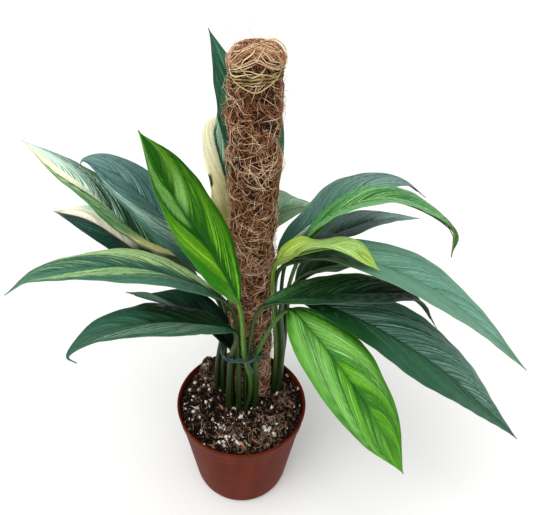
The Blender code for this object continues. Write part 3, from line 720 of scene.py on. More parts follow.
# Points and widths are in millimetres, rolls and folds in degrees. The blade is painted in
# strokes: colour, side, start, end, strength and, where it doesn't reach all across, inner
# and outer. Washes follow the length, and bands, streaks and lines follow the side veins.
# A mark is one spot: colour, place across and along, length and width.
LEAVES = [
    dict(name="upright", node="tied_shoot",
         petiole=[(1, -8, 84), (8, -9, 112), (8, -10, 140), (3, -11, 165)],
         midrib=[(-2, -20, 231), (-19, -18, 271), (-43, -26, 325), (-52, -56, 374)],
         width=55, roll=(56, 55, 68), fold=10, pleat=(0.8, 24), tissue=("2F7D10", "1F6409"),
         stalk="5E8A2A",
         washes=[("5C9A30", PORT, -1, 0.12, 0.6, 0.3, 1)],
         # Its light and dark bands are partly its own markings, partly painted light and shade of the
         # pleats; the pale bands at mid-blade are a painted highlight.
         bands=[("72BC1E", PORT, 0.1, 0.29, 0.7, 0, 0.85), ("17540A", PORT, 0.33, 0.44, 0.7),
                ("86C46A", PORT, 0.42, 0.6, 0.85, 0.2, 1), ("1F6B0E", PORT, 0.64, 0.8, 0.5),
                ("154F06", STARBOARD, 0, 0.4, 0.5, 0, 0.3),
                ("72AF1E", STARBOARD, 0.46, 0.66, 0.7, 0.15, 1),
                ("8CC670", STARBOARD, 0.5, 0.6, 0.8, 0.05, 0.5)],
         streaks=[("8ED034", PORT, 0.02, 0.34, 0.42, 0.1, 1),
                  ("74BC2A", STARBOARD, -0.2, 0.4, 0.44, 0.15, 0.95),
                  ("8CC45A", BOTH, 0.4, 0.75, 0.32, 0.1, 1)],
         lines=[("0F4305", BOTH, 0.05, 0.9, 0.28, 0.05, 1)]),
    dict(name="level_left", node="tied_shoot",
         petiole=[(-3, -8, 84), (-2, -9, 130), (-3, -9, 165)],
         midrib=[(-9, -11, 222), (-49, -14, 252), (-84, -18, 264), (-147, -22, 259), (-170, -27, 245)],
         width=53, roll=(-18, -8, 2), fold=4, pleat=(0.6, 20), tissue=("45785F", "3A6A52"),
         stalk="2F4A14",
         washes=[("5C8A72", BOTH, 0.8, 2, 0.5), ("22400F", BOTH, -1, 0.1, 0.85)],
         bands=[("6FA865", PORT, 0.26, 0.5, 0.5, 0.1, 0.9), ("1D4A38", PORT, 0.5, 0.62, 0.6, 0, 0.4),
                ("24503A", STARBOARD, 0.1, 0.5, 0.6, 0, 0.25),
                ("86B46C", STARBOARD, -0.2, 0.34, 0.5, 0.5, 1)],
         streaks=[("C6EA9C", PORT, 0.24, 0.5, 0.54, 0.08, 0.92),
                  ("CDEEA0", STARBOARD, -0.25, 0.4, 0.54, 0.2, 1),
                  ("94B98A", BOTH, 0.1, 0.8, 0.34, 0.05, 0.9)],
         lines=[("1C4532", BOTH, 0, 0.9, 0.4)]),
    dict(name="lower_left", node="tied_shoot",
         petiole=[(-12, -6, 84), (-11, -8, 130), (-9, -10, 163)],
         midrib=[(-5, -15, 198), (-39, -22, 214), (-65, -36, 227), (-101, -46, 227), (-120, -60, 217),
                 (-114, -62, 213)],
         width=50, roll=(-2, -6, 16), fold=7, pleat=(0.6, 18), taper=1.5, tissue=("3F6A54", "0F3218"),
         stalk="2A4212",
         washes=[("2C5A46", STARBOARD, 0.55, 2, 0.9), ("1B3D28", PORT, -1, 0.1, 0.7)],
         bands=[("4F7B60", PORT, 0.05, 0.4, 0.4, 0.1, 0.9)],
         streaks=[("8FB59A", PORT, -0.05, 0.5, 0.46, 0.05, 0.9), ("3F6A52", STARBOARD, 0.3, 0.9, 0.36)],
         lines=[("16341F", PORT, 0, 0.9, 0.4)]),
    dict(name="small_dark_left", node="tied_shoot",
         petiole=[(-8, -4, 84), (-8, -1, 125)],
         midrib=[(-9, 2, 163), (-45, 9, 199), (-98, 20, 211)],
         # Its nearly black tissue is painted shade, where it lies under level_left.
         width=42, roll=(12, -9, -55), fold=29, pleat=(0.5, 16), tissue=("0E2A1B", "0C2416"),
         stalk="243A10",
         washes=[("2A5844", BOTH, 0.5, 2, 0.9)],
         streaks=[("2E5A44", STARBOARD, 0, 0.6, 0.36, 0.1, 1)]),
    dict(name="right_over_pole", node="tied_shoot",
         petiole=[(4, -4, 84), (4, -5, 130), (6, -6, 168)],
         midrib=[(16, -10, 220), (47, -11, 231), (83, -11, 234), (132, -8, 228), (160, -6, 194)],
         width=50, roll=(17, 13, 12), fold=11, pleat=(0.7, 17), taper=1.9, tip=1.6,
         tissue=("26522C", "17402A"), stalk="2C4814",
         # The near-black wash on the port side from 0.4 to 0.8 is painted shadow.
         washes=[("0D2E1F", PORT, 0.4, 0.8, 0.8, 0, 0.7),
                 ("3B6A30", STARBOARD, 0.1, 0.26, 0.6, 0.3, 0.95),
                 ("0C2B1A", STARBOARD, 0.5, 0.75, 0.6, 0, 0.8), ("46552A", BOTH, 0.84, 2, 0.9)],
         bands=[("3B6B30", PORT, -0.2, 0.12, 0.6, 0.2, 1)],
         streaks=[("52804A", PORT, -0.2, 0.5, 0.42, 0.05, 1),
                  ("3A6A44", STARBOARD, 0.1, 0.7, 0.34, 0.1, 1)],
         lines=[("08210F", BOTH, 0, 0.8, 0.5)]),
    dict(name="drooping_front", node="tied_shoot",
         petiole=[(13, -6, 84), (13, -5, 130), (13, -5, 162)],
         midrib=[(37, -10, 217), (53, -34, 216), (71, -55, 202), (94, -74, 174), (122, -89, 123)],
         width=57, roll=(-4, 7, -18), fold=2, pleat=(0.9, 27), tissue=("42801B", "4C8D28"),
         stalk="3F6A20",
         washes=[("1F6412", BOTH, -1, 0.07, 0.8), ("2F7A1C", PORT, 0, 0.5, 0.7, 0.85, 1),
                 ("4C8E10", BOTH, 0.8, 2, 0.7)],
         bands=[("80BC58", PORT, 0.02, 0.28, 0.6, 0.05, 0.8), ("22661A", PORT, 0.28, 0.33, 0.8),
                ("68AE1E", PORT, 0.34, 0.47, 0.7, 0.05, 0.9), ("226414", PORT, 0.47, 0.56, 0.7),
                ("509612", PORT, 0.58, 0.72, 0.6), ("357518", PORT, 0.73, 0.78, 0.6),
                ("7CBA5A", STARBOARD, -0.2, 0.29, 0.65, 0.1, 0.9),
                ("226A20", STARBOARD, 0.075, 0.125, 0.7), ("22661A", STARBOARD, 0.29, 0.34, 0.75),
                ("5FA81A", STARBOARD, 0.35, 0.47, 0.75, 0.1, 1),
                ("226416", STARBOARD, 0.44, 0.6, 0.85, 0, 0.35),
                ("3E8226", STARBOARD, 0.52, 0.62, 0.6, 0.2, 1)],
         streaks=[("A4D884", BOTH, 0, 0.45, 0.34, 0.1, 0.9), ("80C034", BOTH, 0.4, 0.9, 0.28, 0.1, 0.9)],
         lines=[("245F1A", BOTH, 0, 0.9, 0.34)]),
    dict(name="upper_left", node="left_shoot",
         petiole=[(-18, 13, 84), (-17, 16, 130), (-13, 27, 178)],
         midrib=[(-23, 29, 211), (-47, 33, 256), (-104, 44, 315), (-124, 53, 315), (-126, 52, 311)],
         width=57, roll=(-14, 4, 50), fold=5, pleat=(0.6, 20), taper=1.3, tissue=("426A61", "557C76"),
         stalk="3A5A20",
         washes=[("1C3D36", BOTH, -1, 0.33, 0.6), ("648A84", BOTH, 0.68, 2, 0.8)],
         bands=[("294C46", STARBOARD, 0.3, 0.6, 0.5, 0, 0.6)],
         streaks=[("BCE0CC", PORT, 0.06, 0.44, 0.48, 0, 0.95), ("94B9AE", STARBOARD, 0.3, 0.85, 0.3)],
         lines=[("1D3B36", BOTH, 0, 0.8, 0.42)]),
    dict(name="longest_left", node="left_shoot",
         petiole=[(-21, 17, 84), (-20, 21, 130), (-15, 34, 182)],
         midrib=[(-38, 38, 226), (-81, 40, 252), (-122, 51, 290), (-173, 66, 327)],
         width=54, roll=(-22, -9, 12), fold=12, pleat=(0.7, 18), tissue=("64A05E", "3A7248"),
         stalk="44661E",
         washes=[("F6F29A", PORT, -1, 0.33, 1, 0, 0.93), ("FFFCD8", PORT, 0.68, 2, 1, 0, 0.86),
                 ("FFFBD6", BOTH, 0.84, 2, 0.9), ("D3EADC", STARBOARD, 0.74, 2, 0.85, 0.25, 1)],
         bands=[("F6F29A", PORT, -0.8, 0, 1, 0, 0.9), ("1E3A1E", PORT, -0.8, 0, 0.8, 0.93, 1),
                ("FFFCD8", PORT, 0.57, 1.2, 1, 0, 0.9), ("8CC68C", PORT, 0.3, 0.5, 0.5, 0.2, 1)],
         streaks=[("BCE29C", PORT, 0.16, 0.42, 0.46), ("FBF8D0", PORT, 0.42, 0.62, 0.54),
                  ("D0EEDC", STARBOARD, 0.36, 1.2, 0.56), ("86C08A", STARBOARD, 0, 0.6, 0.46)],
         lines=[("1E4A2A", PORT, 0.14, 0.52, 0.5), ("12361F", STARBOARD, 0, 0.62, 0.5),
                ("8FC4A0", PORT, 0.5, 0.8, 0.4, 0.4, 1)]),
    dict(name="under_longest_left", node="left_shoot",
         petiole=[(-24, 13, 84), (-22, 17, 130), (-17, 30, 182)],
         midrib=[(-38, 37, 213), (-78, 37, 234), (-125, 44, 267), (-157, 54, 270)],
         width=49, roll=(-5, 6, 38), fold=15, pleat=(0.6, 17), tissue=("163C34", "FFF6E2"),
         stalk="2F4A1A",
         washes=[("2C5524", STARBOARD, -1, 0.28, 0.9), ("0B1C12", STARBOARD, 0.28, 0.46, 1, 0, 0.3),
                 ("BFE6D8", STARBOARD, 0.6, 0.82, 0.8, 0.6, 1), ("8A7A66", BOTH, 0.95, 2, 0.9)],
         streaks=[("3B665C", PORT, 0.1, 0.8, 0.36)],
         lines=[("0A221C", PORT, 0, 0.9, 0.4)]),
    dict(name="against_pole", node="left_shoot",
         petiole=[(-19, 21, 84), (-17, 25, 130), (-11, 34, 182)],
         midrib=[(-9, 34, 255), (-11, 36, 299), (-20, 45, 337), (-19, 66, 346)],
         width=48, roll=(-23, -49, -32), fold=0, pleat=(0.3, 18), rib=0.12, tissue=("FFFFC0", "2F5946"),
         stalk="44661E",
         washes=[("E6EE90", PORT, -1, 0.34, 0.9), ("F0F8A0", STARBOARD, -1, 0.44, 1),
                 ("C4D6A0", STARBOARD, 0.88, 2, 0.7), ("FFFFDC", PORT, 0.6, 2, 0.7)],
         streaks=[("A9D6B4", STARBOARD, 0.46, 0.8, 0.62, 0.1, 1)],
         lines=[("F0F4AE", PORT, 0.1, 0.9, 0.2), ("17362A", STARBOARD, 0.35, 0.9, 0.4)],
         marks=[("43382C", -0.97, 0.545, 4.5, 3)]),
    dict(name="tall_back", node="back_shoot",
         petiole=[(4, 43, 84), (8, 46, 150)],
         midrib=[(18, 54, 219), (-1, 66, 286), (5, 80, 343), (-10, 97, 367), (-26, 114, 400)],
         width=68, roll=(24, 25, -1), fold=4, pleat=(0.7, 21), slim=(PORT, 0.08, 0.5, 0.34),
         tissue=("1C4A33", "4A8068"), stalk="3A5A20",
         washes=[("3A6A58", BOTH, 0.9, 2, 0.7)],
         streaks=[("3A7454", BOTH, 0.1, 0.95, 0.4)],
         lines=[("0E3320", BOTH, 0, 0.9, 0.45)]),
    dict(name="pale_back_right", node="back_shoot",
         petiole=[(15, 42, 84), (20, 47, 150)],
         midrib=[(19, 70, 236), (40, 88, 257), (65, 106, 245), (98, 121.4, 230)],
         width=48, roll=(-7, -8, -1), fold=12, pleat=(0.6, 18), tissue=("80A282", "5C7E58"),
         stalk="44601E",
         washes=[("5E6A4C", PORT, 0.1, 2, 0.8, 0.93, 1)],
         bands=[("3C5430", STARBOARD, 0.02, 0.26, 0.85, 0.1, 0.8)],
         streaks=[("A3C29E", BOTH, 0, 0.9, 0.36, 0.1, 0.9)],
         lines=[("4F7152", BOTH, 0, 0.9, 0.4)]),
    dict(name="arched_farther", node="right_shoot",
         petiole=[(33, 22, 84), (34, 24, 150)],
         midrib=[(30, 33, 236), (58, 39, 269), (84, 40, 295), (124, 45, 301), (151, 53, 283)],
         width=49, roll=(-3, 5, -1), fold=5, pleat=(0.5, 18), taper=1.7, tip=2.2,
         tissue=("5A8676", "50806C"), stalk="2F4A14",
         washes=[("2B4F40", BOTH, -1, 0.25, 0.7), ("7C9A92", BOTH, 0.55, 0.86, 0.8),
                 ("4A5A22", BOTH, 0.86, 2, 1)],
         streaks=[("E9F5EA", STARBOARD, 0.04, 0.24, 0.75, 0, 0.45),
                  ("7E9C90", BOTH, 0.1, 0.8, 0.3, 0.1, 1)],
         lines=[("2A4D42", BOTH, 0, 0.85, 0.42)],
         marks=[("20302C", -0.78, 0.6, 1.5, 1.2), ("20302C", -0.86, 0.63, 1.2, 1),
                ("20302C", -0.8, 0.57, 1.3, 0.9)]),
    dict(name="arched_nearer", node="right_shoot",
         petiole=[(36, 18, 84), (37, 22, 150), (40, 24, 215)],
         midrib=[(50, 15, 263), (57, 14, 279), (87, 7, 303), (111, 2, 306), (144, -14, 292),
                 (137, -36, 284)],
         width=45, roll=(-18, -10, -1), fold=10, pleat=(0.8, 17), taper=1.5, tissue=("4A8A4C", "63A45C"),
         stalk="4E7A24",
         washes=[("84C45A", BOTH, 0.26, 0.52, 0.7, 0, 0.3), ("7FAE84", BOTH, 0.55, 0.8, 0.5, 0.4, 1),
                 ("425C12", BOTH, 0.8, 2, 1)],
         bands=[("2A6330", PORT, 0.36, 0.41, 0.7, 0.05, 0.6), ("2A6330", PORT, 0.48, 0.52, 0.7, 0, 0.5)],
         streaks=[("9CCF94", BOTH, -0.1, 0.7, 0.4, 0.1, 1)],
         lines=[("27602C", BOTH, 0, 0.8, 0.44)]),
    dict(name="grey_under_arched", node="right_shoot",
         petiole=[(35, 20, 84), (36, 26, 150)],
         midrib=[(41, 29, 246), (80, 39, 258), (112, 51, 263), (153, 60, 260)],
         width=44, roll=(22, 11, 5), fold=11, pleat=(0.5, 16), tissue=("78988F", "52766D"),
         stalk="2F4A1A",
         washes=[("1B302B", STARBOARD, -1, 0.42, 0.8), ("8BA79F", BOTH, 0.6, 2, 0.8),
                 ("1C332E", PORT, 0.3, 0.6, 0.7, 0, 0.3)],
         streaks=[("86A69E", BOTH, 0, 0.8, 0.34, 0.1, 1)],
         lines=[("233E39", BOTH, 0, 0.7, 0.42)]),
    dict(name="twisted_young", node="right_shoot",
         petiole=[(31, 14, 84), (31, 12, 150)],
         midrib=[(26, -1, 256), (40, -13, 273), (72, -23, 283), (92, -35, 273)],
         width=39, roll=(-22, 25, -18), fold=9, pleat=(0.6, 16), rib=0.2, tissue=("90AE42", "9CB65A"),
         stalk="6A8A30",
         washes=[("A0C872", BOTH, 0.42, 0.8, 0.8), ("8CB62E", BOTH, 0.84, 2, 0.7),
                 ("6F8A2C", STARBOARD, 0, 0.4, 0.6, 0.75, 1)],
         bands=[("B8CC72", BOTH, 0, 0.05, 0.6, 0.1, 1), ("B8CC72", BOTH, 0.14, 0.18, 0.6, 0.1, 1)],
         streaks=[("C4DC86", BOTH, 0, 0.9, 0.36)],
         lines=[("6F9030", BOTH, 0, 0.9, 0.4)]),
    dict(name="long_right", node="right_shoot",
         petiole=[(34, 15, 84), (34, 13, 150)],
         midrib=[(30, 4, 247), (60, -5, 265), (91, -11, 264), (134, -20, 249), (168, -31, 228),
                 (218, -42, 184)],
         width=56, roll=(22, 0, -2), fold=9, pleat=(0.5, 21), tissue=("66977F", "629378"), stalk="2F4A14",
         # The dark olive washes at the base are painted shadow, cast by twisted_young above.
         washes=[("2C4A14", STARBOARD, -1, 0.28, 0.95), ("34561E", PORT, -1, 0.2, 0.8),
                 ("4A7C56", BOTH, 0.85, 2, 0.7)],
         bands=[("3D6B58", BOTH, 0.36, 0.4, 0.6, 0, 0.7), ("3D6B58", BOTH, 0.5, 0.56, 0.5, 0.1, 0.8)],
         streaks=[("86B09C", BOTH, 0.1, 1, 0.34, 0.05, 1)],
         lines=[("3F6E59", BOTH, 0.05, 1, 0.33)]),
    dict(name="small_dark_right", node="right_shoot",
         petiole=[(37, 21, 84), (39, 20, 150)],
         midrib=[(45, 22, 219), (68, 29, 230), (110, 32, 234)],
         width=44, roll=(20, 3, 5), fold=15, pleat=(0.5, 16), tissue=("26501F", "428248"), stalk="2A4012",
         washes=[("1B3F16", STARBOARD, -1, 0.3, 0.6)],
         streaks=[("4F8A52", STARBOARD, 0, 0.8, 0.36, 0.1, 1)],
         lines=[("12300F", BOTH, 0, 0.8, 0.4)]),
    dict(name="longest_drooping", node="right_shoot",
         petiole=[(36, 13, 84), (37, 11, 150)],
         midrib=[(36, -1, 224), (66, -13, 224), (108, -21, 207), (168, -34, 168), (235, -47, 105)],
         width=59, roll=(12, -5, -1), fold=11, pleat=(0.8, 20), tissue=("3B6653", "28583F"),
         stalk="2C4814",
         washes=[("0F4217", STARBOARD, -1, 0.3, 0.9), ("0C2E12", PORT, -1, 0.14, 0.8),
                 ("2B5A40", BOTH, 0.8, 2, 0.7)],
         bands=[("1C4030", PORT, 0.14, 0.17, 0.7, 0, 0.8), ("1C4030", PORT, 0.25, 0.28, 0.7, 0, 0.8),
                ("1C4030", PORT, 0.4, 0.43, 0.5, 0.1, 0.8)],
         streaks=[("84A798", PORT, 0, 0.85, 0.42), ("3F7350", STARBOARD, 0.1, 0.9, 0.38, 0.1, 1)],
         lines=[("15382A", PORT, 0, 1, 0.36), ("123A20", STARBOARD, 0, 1, 0.34)]),
]


def lengths_along(route):
    reached = [0.0]
    for start, end in zip(route, route[1:]):
        reached.append(reached[-1] + (end - start).length)
    return reached


def point_at(route, reached, distance):
    distance = min(max(distance, 0.0), reached[-1])
    place = min(int(np.searchsorted(reached, distance, side="left")), len(route) - 1)
    place = max(place, 1)
    share = (distance - reached[place - 1]) / max(reached[place] - reached[place - 1], 1e-9)
    return route[place - 1].lerp(route[place], share)


def blade_outline(share, taper):
    """Half width of a lance-shaped blade as a share of its widest, throat 0 to tip 1."""
    if share < WIDEST:
        return math.sin(math.pi / 2 * (share / WIDEST) ** 0.85) ** 0.9
    return max(math.sin(math.pi / 2 * (1 - share) / (1 - WIDEST)), 0.0) ** taper


def eased(share, values):
    """Smooth change through the values at the throat, the middle and the tip."""
    first, middle, last = values
    if share < 0.5:
        t = share * 2
        return first + (middle - first) * (3 * t**2 - 2 * t**3)
    t = share * 2 - 1
    return middle + (last - middle) * (3 * t**2 - 2 * t**3)


def blade_frames(leaf, count):
    """Centre, side, face direction and half width at even stations from throat to tip."""
    route = smooth_route(leaf["petiole"] + leaf["midrib"], SPAN_STEPS)
    reached = lengths_along(route)
    throat = reached[len(leaf["petiole"]) * SPAN_STEPS]
    length = reached[-1] - throat
    heading = Vector(leaf["midrib"][-1]) - Vector(leaf["midrib"][0])
    across = Vector((heading.y, -heading.x, 0.0)).normalized()
    frames = []
    for station in range(count + 1):
        share = station / count
        centre = point_at(route, reached, throat + share * length)
        ahead = point_at(route, reached, throat + (share + 0.004) * length)
        behind = point_at(route, reached, throat + (share - 0.004) * length)
        along = (ahead - behind).normalized()
        across = (across - along * across.dot(along)).normalized()
        above = across.cross(along)
        roll = math.radians(eased(share, leaf["roll"]))
        side = across * math.cos(roll) + above * math.sin(roll)
        face = above * math.cos(roll) - across * math.sin(roll)
        half = leaf["width"] / 2 * blade_outline(share, leaf.get("taper", 1.18))
        half = max(half, leaf.get("tip", 0.0) * (1 - ramped(0.93, 1.0, share)) * ramped(0.5, 0.7, share))
        frames.append((centre, side, face, max(half, THINNEST)))
    return frames, route, reached, throat, length


def vein_share(share, reach):
    """Where the side vein through this place leaves the midrib, as a share of the blade."""
    return share - VEIN_START * reach - VEIN_SWEEP * reach**3


def coverage(stroke, along, offset, soft_along, soft_across):
    """How strongly a patch covers a place: colour, side, start, end, strength, inner, outer."""
    side, start, end, strength, inner, outer = (*stroke[1:], 0, 1)[:6]
    if offset * side < 0:
        return 0.0
    reach = abs(offset)
    cover = strength * ramped(start - soft_along, start + soft_along, along)
    cover *= 1 - ramped(end - soft_along, end + soft_along, along)
    if inner > 0:
        cover *= ramped(inner - soft_across, inner + soft_across, reach)
    if outer < 1:
        cover *= 1 - ramped(outer - soft_across, outer + soft_across, reach)
    return cover


def hue(code):
    return np.array(linear(code)[:3])


def fibre_layer(strokes, vein, offset, plain):
    """Colour and density of the fine lines that a list of patches gives one place."""
    found, density = plain, 0.0
    for stroke in strokes:
        cover = coverage(stroke, vein, offset, 0.09, 0.14)
        if cover > density:
            found, density = hue(stroke[0]), cover
    return [*found, density]


def paint(leaf, share, offset, length):
    """Tissue colour, then the colours and densities of pale and of dark lines, at one place."""
    half = leaf["width"] / 2
    vein = vein_share(share, abs(offset))
    blend = ramped(-0.03, 0.03, offset)
    colour = hue(leaf["tissue"][0]) * (1 - blend) + hue(leaf["tissue"][1]) * blend
    for stroke in leaf["washes"]:
        cover = coverage(stroke, share, offset, 0.07, 0.14)
        colour = colour * (1 - cover) + hue(stroke[0]) * cover
    for stroke in leaf.get("bands", []):
        cover = coverage(stroke, vein, offset, 0.022, 0.1)
        colour = colour * (1 - cover) + hue(stroke[0]) * cover
    for code, mark_offset, mark_share, long, wide in leaf.get("marks", []):
        away = ((share - mark_share) * length / long) ** 2 + ((offset - mark_offset) * half / wide) ** 2
        cover = 1 - ramped(0.6, 1.5, away)
        colour = colour * (1 - cover) + hue(code) * cover
    dark = leaf.get("rib", 0.5) * math.exp(-((offset * half / 0.8) ** 2)) * ramped(0.03, 0.15, share)
    colour = colour * (1 - dark)
    streak = fibre_layer(leaf["streaks"], vein, offset, colour)
    return [*colour, 1.0], streak, fibre_layer(leaf.get("lines", []), vein, offset, colour)


def make_blade(leaf, number):
    """Pleated blade laid on its midrib's route, painted by formula, with a paler underside."""
    frames, _, _, _, length = blade_frames(leaf, BLADE_CELLS_ALONG)
    deep, spacing = leaf["pleat"]
    fold = math.radians(leaf["fold"])
    choose()
    bpy.ops.mesh.primitive_grid_add(
        x_subdivisions=BLADE_CELLS_ACROSS, y_subdivisions=BLADE_CELLS_ALONG, size=2)
    blade = bpy.context.object
    mesh = blade.data
    tissues, streaks, lines, flat = [], [], [], []
    for vertex in mesh.vertices:
        share = (vertex.co.y + 1) / 2
        offset = math.copysign(abs(vertex.co.x) ** MIDRIB_CROWDING, vertex.co.x)
        centre, side, face, half = frames[round(share * BLADE_CELLS_ALONG)]
        reach = abs(offset)
        if "slim" in leaf and offset * leaf["slim"][0] > 0:
            from_share, to_share, part = leaf["slim"][1:]
            half *= 1 - part * ramped(from_share - 0.08, from_share + 0.08, share) * (
                1 - ramped(to_share - 0.1, to_share + 0.1, share))
        vein = vein_share(share, reach) * length
        strength = ramped(0.02, 0.3, reach) * (1 - 0.7 * reach**4) * min(1.0, half / 12)
        pleat = deep * math.sin(2 * math.pi * vein / spacing + 0.7 * number) * strength
        bulge = BULGE * half * math.sin(math.pi * reach)
        groove = GROOVE_DEPTH * math.exp(-((offset * half / GROOVE_WIDTH) ** 2)) * min(1.0, half / 10)
        ripple = math.sin(2 * math.pi * EDGE_WAVES * share + number + (offset > 0) * 2)
        wave = EDGE_RIPPLE * half * reach**3 * ripple
        lift = reach * half * math.sin(fold) + pleat + bulge - groove + wave
        vertex.co = (centre + side * (offset * half * math.cos(fold)) + face * lift) * MM
        tissue, streak, line = paint(leaf, share, offset, length)
        tissues += tissue
        streaks += streak
        lines += line
        flat.append((vein + 400 * number, offset * leaf["width"] / 2))
    for layer, colours in (("tissue", tissues), ("streak", streaks), ("line", lines)):
        mesh.attributes.new(layer, "FLOAT_COLOR", "POINT").data.foreach_set("color", colours)
    veins = mesh.uv_layers.new(name="veins")
    corners = [flat[loop.vertex_index] for loop in mesh.loops]
    veins.data.foreach_set("uv", [part * 0.001 for corner in corners for part in corner])
    for material in (upper_side, underside, stalk_skin):
        mesh.materials.append(material)
    thickness = blade.modifiers.new("thickness", "SOLIDIFY")
    thickness.thickness = BLADE_THICKNESS * MM
    thickness.offset = 0.0
    thickness.material_offset = 1
    thickness.material_offset_rim = 1
    bpy.ops.object.modifier_apply(modifier="thickness")
    bpy.ops.object.shade_smooth_by_angle(angle=math.radians(60))
    return blade


def make_stalk(leaf):
    """Channelled stalk from the crown to the throat, and on under the blade as its midrib."""
    frames, route, reached, throat, length = blade_frames(leaf, RIB_FRAMES)
    stops = [throat * (step / STALK_CELLS) for step in range(STALK_CELLS + 1)]
    stops += [throat + length * RIB_END * (step / RIB_CELLS) ** 1.2 for step in range(1, RIB_CELLS + 1)]
    up = frames[0][2]
    ups = []
    for stop in reversed(stops[:STALK_CELLS + 1]):
        along = (point_at(route, reached, stop + 1) - point_at(route, reached, stop - 1)).normalized()
        up = (up - along * up.dot(along)).normalized()
        ups.append(up.copy())
    ups.reverse()
    choose()
    bpy.ops.mesh.primitive_cylinder_add(vertices=STALK_SIDES, radius=1, depth=2, end_fill_type="TRIFAN")
    stalk = bpy.context.object
    bpy.ops.object.mode_set(mode="EDIT")
    bpy.ops.mesh.select_all(action="DESELECT")
    work = bmesh.from_edit_mesh(stalk.data)
    uprights = [edge for edge in work.edges if abs(edge.verts[0].co.z - edge.verts[1].co.z) > 1.5]
    bmesh.ops.subdivide_edges(work, edges=uprights, cuts=len(stops) - 2, use_grid_fill=False)
    bmesh.update_edit_mesh(stalk.data)
    bpy.ops.object.mode_set(mode="OBJECT")
    tone = hue(leaf["stalk"])
    foot_shade_tone = hue(STALK_FOOT_SHADE)
    colours = []
    for vertex in stalk.data.vertices:
        step = round((vertex.co.z + 1) / 2 * (len(stops) - 1))
        stop = stops[step]
        turn = math.atan2(vertex.co.y, vertex.co.x)
        reach = math.hypot(vertex.co.x, vertex.co.y)
        centre = point_at(route, reached, stop)
        along = (point_at(route, reached, stop + 1) - point_at(route, reached, stop - 1)).normalized()
        if step <= STALK_CELLS:
            height = stop / throat
            radius = STALK_FOOT_RADIUS + (STALK_THROAT_RADIUS - STALK_FOOT_RADIUS) * height**0.8
            above = ups[step]
            sink = 0.0
            channel = CHANNEL_DEPTH * ramped(0.0, 0.1, height)
        else:
            under = (stop - throat) / length
            radius = THINNEST + (STALK_THROAT_RADIUS - THINNEST) * max(1 - under / RIB_END, 0.0) ** 1.4
            place = min(under * RIB_FRAMES, RIB_FRAMES - 0.001)
            above = frames[int(place)][2].lerp(frames[int(place) + 1][2], place % 1).normalized()
            groove = GROOVE_DEPTH * min(1.0, frames[int(place)][3] / 10)
            sink = (STALK_DEPTH * radius + groove + 0.1) * ramped(0.0, 0.1, under)
            channel = CHANNEL_DEPTH * (1 - ramped(0.0, 0.12, under))
        side = along.cross(above).normalized() * -1
        top = math.sin(turn)
        dent = channel * radius * math.exp(-((turn - math.pi / 2) / 0.5) ** 2)
        across = side * (math.cos(turn) * radius * STALK_WIDTH * reach)
        raised = above * ((top * radius * STALK_DEPTH - dent) * reach - sink)
        vertex.co = (centre + across + raised) * MM
        # Painted shade: the colour darkens from the throat down to the nearly black foot, and along the
        # channel on top.
        rise = ramped(0.1, 0.9, min(stop / throat, 1.0))
        colour = foot_shade_tone * (1 - rise) + tone * rise
        colour = colour * (1 - 0.5 * math.exp(-((turn - math.pi / 2) / 0.45) ** 2))
        colours += [*colour, 1.0]
    stalk.data.attributes.new("tissue", "FLOAT_COLOR", "POINT").data.foreach_set("color", colours)
    stalk.data.materials.append(stalk_skin)
    stalk.data.shade_smooth()
    return stalk


def vein_grains(tree, veins, wide, long, detail, shift=0.0, **sockets):
    """Grains drawn out along the side veins, wide by long in millimetres."""
    drawn_out = add_node(tree, "Mapping", "Vector", {
        "Vector": veins, "Location": (shift, shift, 0), "Scale": (1 / (wide * MM), 1 / (long * MM), 1)})
    return add_node(tree, "TexNoise", "Fac", {
        "Vector": drawn_out, "Scale": 1.0, "Detail": detail, **sockets}, noise_dimensions="2D")


# Leaf blade, upper side: a thin waxy skin over soft tissue, satin, with the colour in streaks
# that follow the side veins. The streaks' lengths and widths are in real millimetres.
upper_side, tree, shader = new_material("leaf_upper_side")
veins = add_node(tree, "UVMap", "UV", uv_map="veins")
leaf_colour = add_node(tree, "Attribute", "Color", attribute_name="tissue")
for layer, shift, wide, long in (("streak", 0.0, 2.6, 22), ("line", 7.3, 2.1, 30)):
    painted = add_node(tree, "Attribute", "Color", attribute_name=layer)
    density = painted.node.outputs["Alpha"]
    grown = vein_grains(tree, veins, wide, long, 5.0, shift, Roughness=0.66)
    spread = add_node(tree, "MapRange", "Result", {"Value": grown, "From Min": 0.27, "From Max": 0.73})
    level = add_node(tree, "Math", "Value", {0: density, 1: 1.3, 2: spread}, operation="MULTIPLY_ADD")
    shown = add_node(tree, "MapRange", "Result", {
        "Value": level, "From Min": 0.92, "From Max": 1.34}, interpolation_type="SMOOTHSTEP")
    leaf_colour = add_node(tree, "Mix", "Result", {
        "Factor": shown, "A": leaf_colour, "B": painted}, data_type="RGBA")
fine_veins = vein_grains(tree, veins, 1.5, 45, 3.0)
# Broad bands along the veins: partly the leaf's own uneven tone, partly painted light and shade of the
# pleats.
pleat_shading_bands = vein_grains(tree, veins, 9, 60, 2.0)
cells = vein_grains(tree, veins, 1.3, 1.3, 2.0)
mottle = add_node(tree, "Math", "Value", {0: fine_veins, 1: cells})
banded = add_node(tree, "Math", "Value", {0: mottle, 1: pleat_shading_bands})
mottled = add_node(tree, "MapRange", "Result", {
    "Value": banded, "From Min": 1.1, "From Max": 1.9, "To Min": 0.72, "To Max": 1.4})
toned = add_node(tree, "VectorMath", "Vector", {0: leaf_colour, "Scale": mottled}, operation="SCALE")
ribbed = add_node(tree, "Bump", "Normal", {"Height": mottle, "Strength": 0.3, "Distance": 0.4 * MM})
tree.links.new(toned, shader.inputs["Base Color"])
tree.links.new(ribbed, shader.inputs["Normal"])
shader.inputs["Roughness"].default_value = 0.42
shader.inputs["IOR"].default_value = 1.42
shader.inputs["Specular IOR Level"].default_value = 0.2

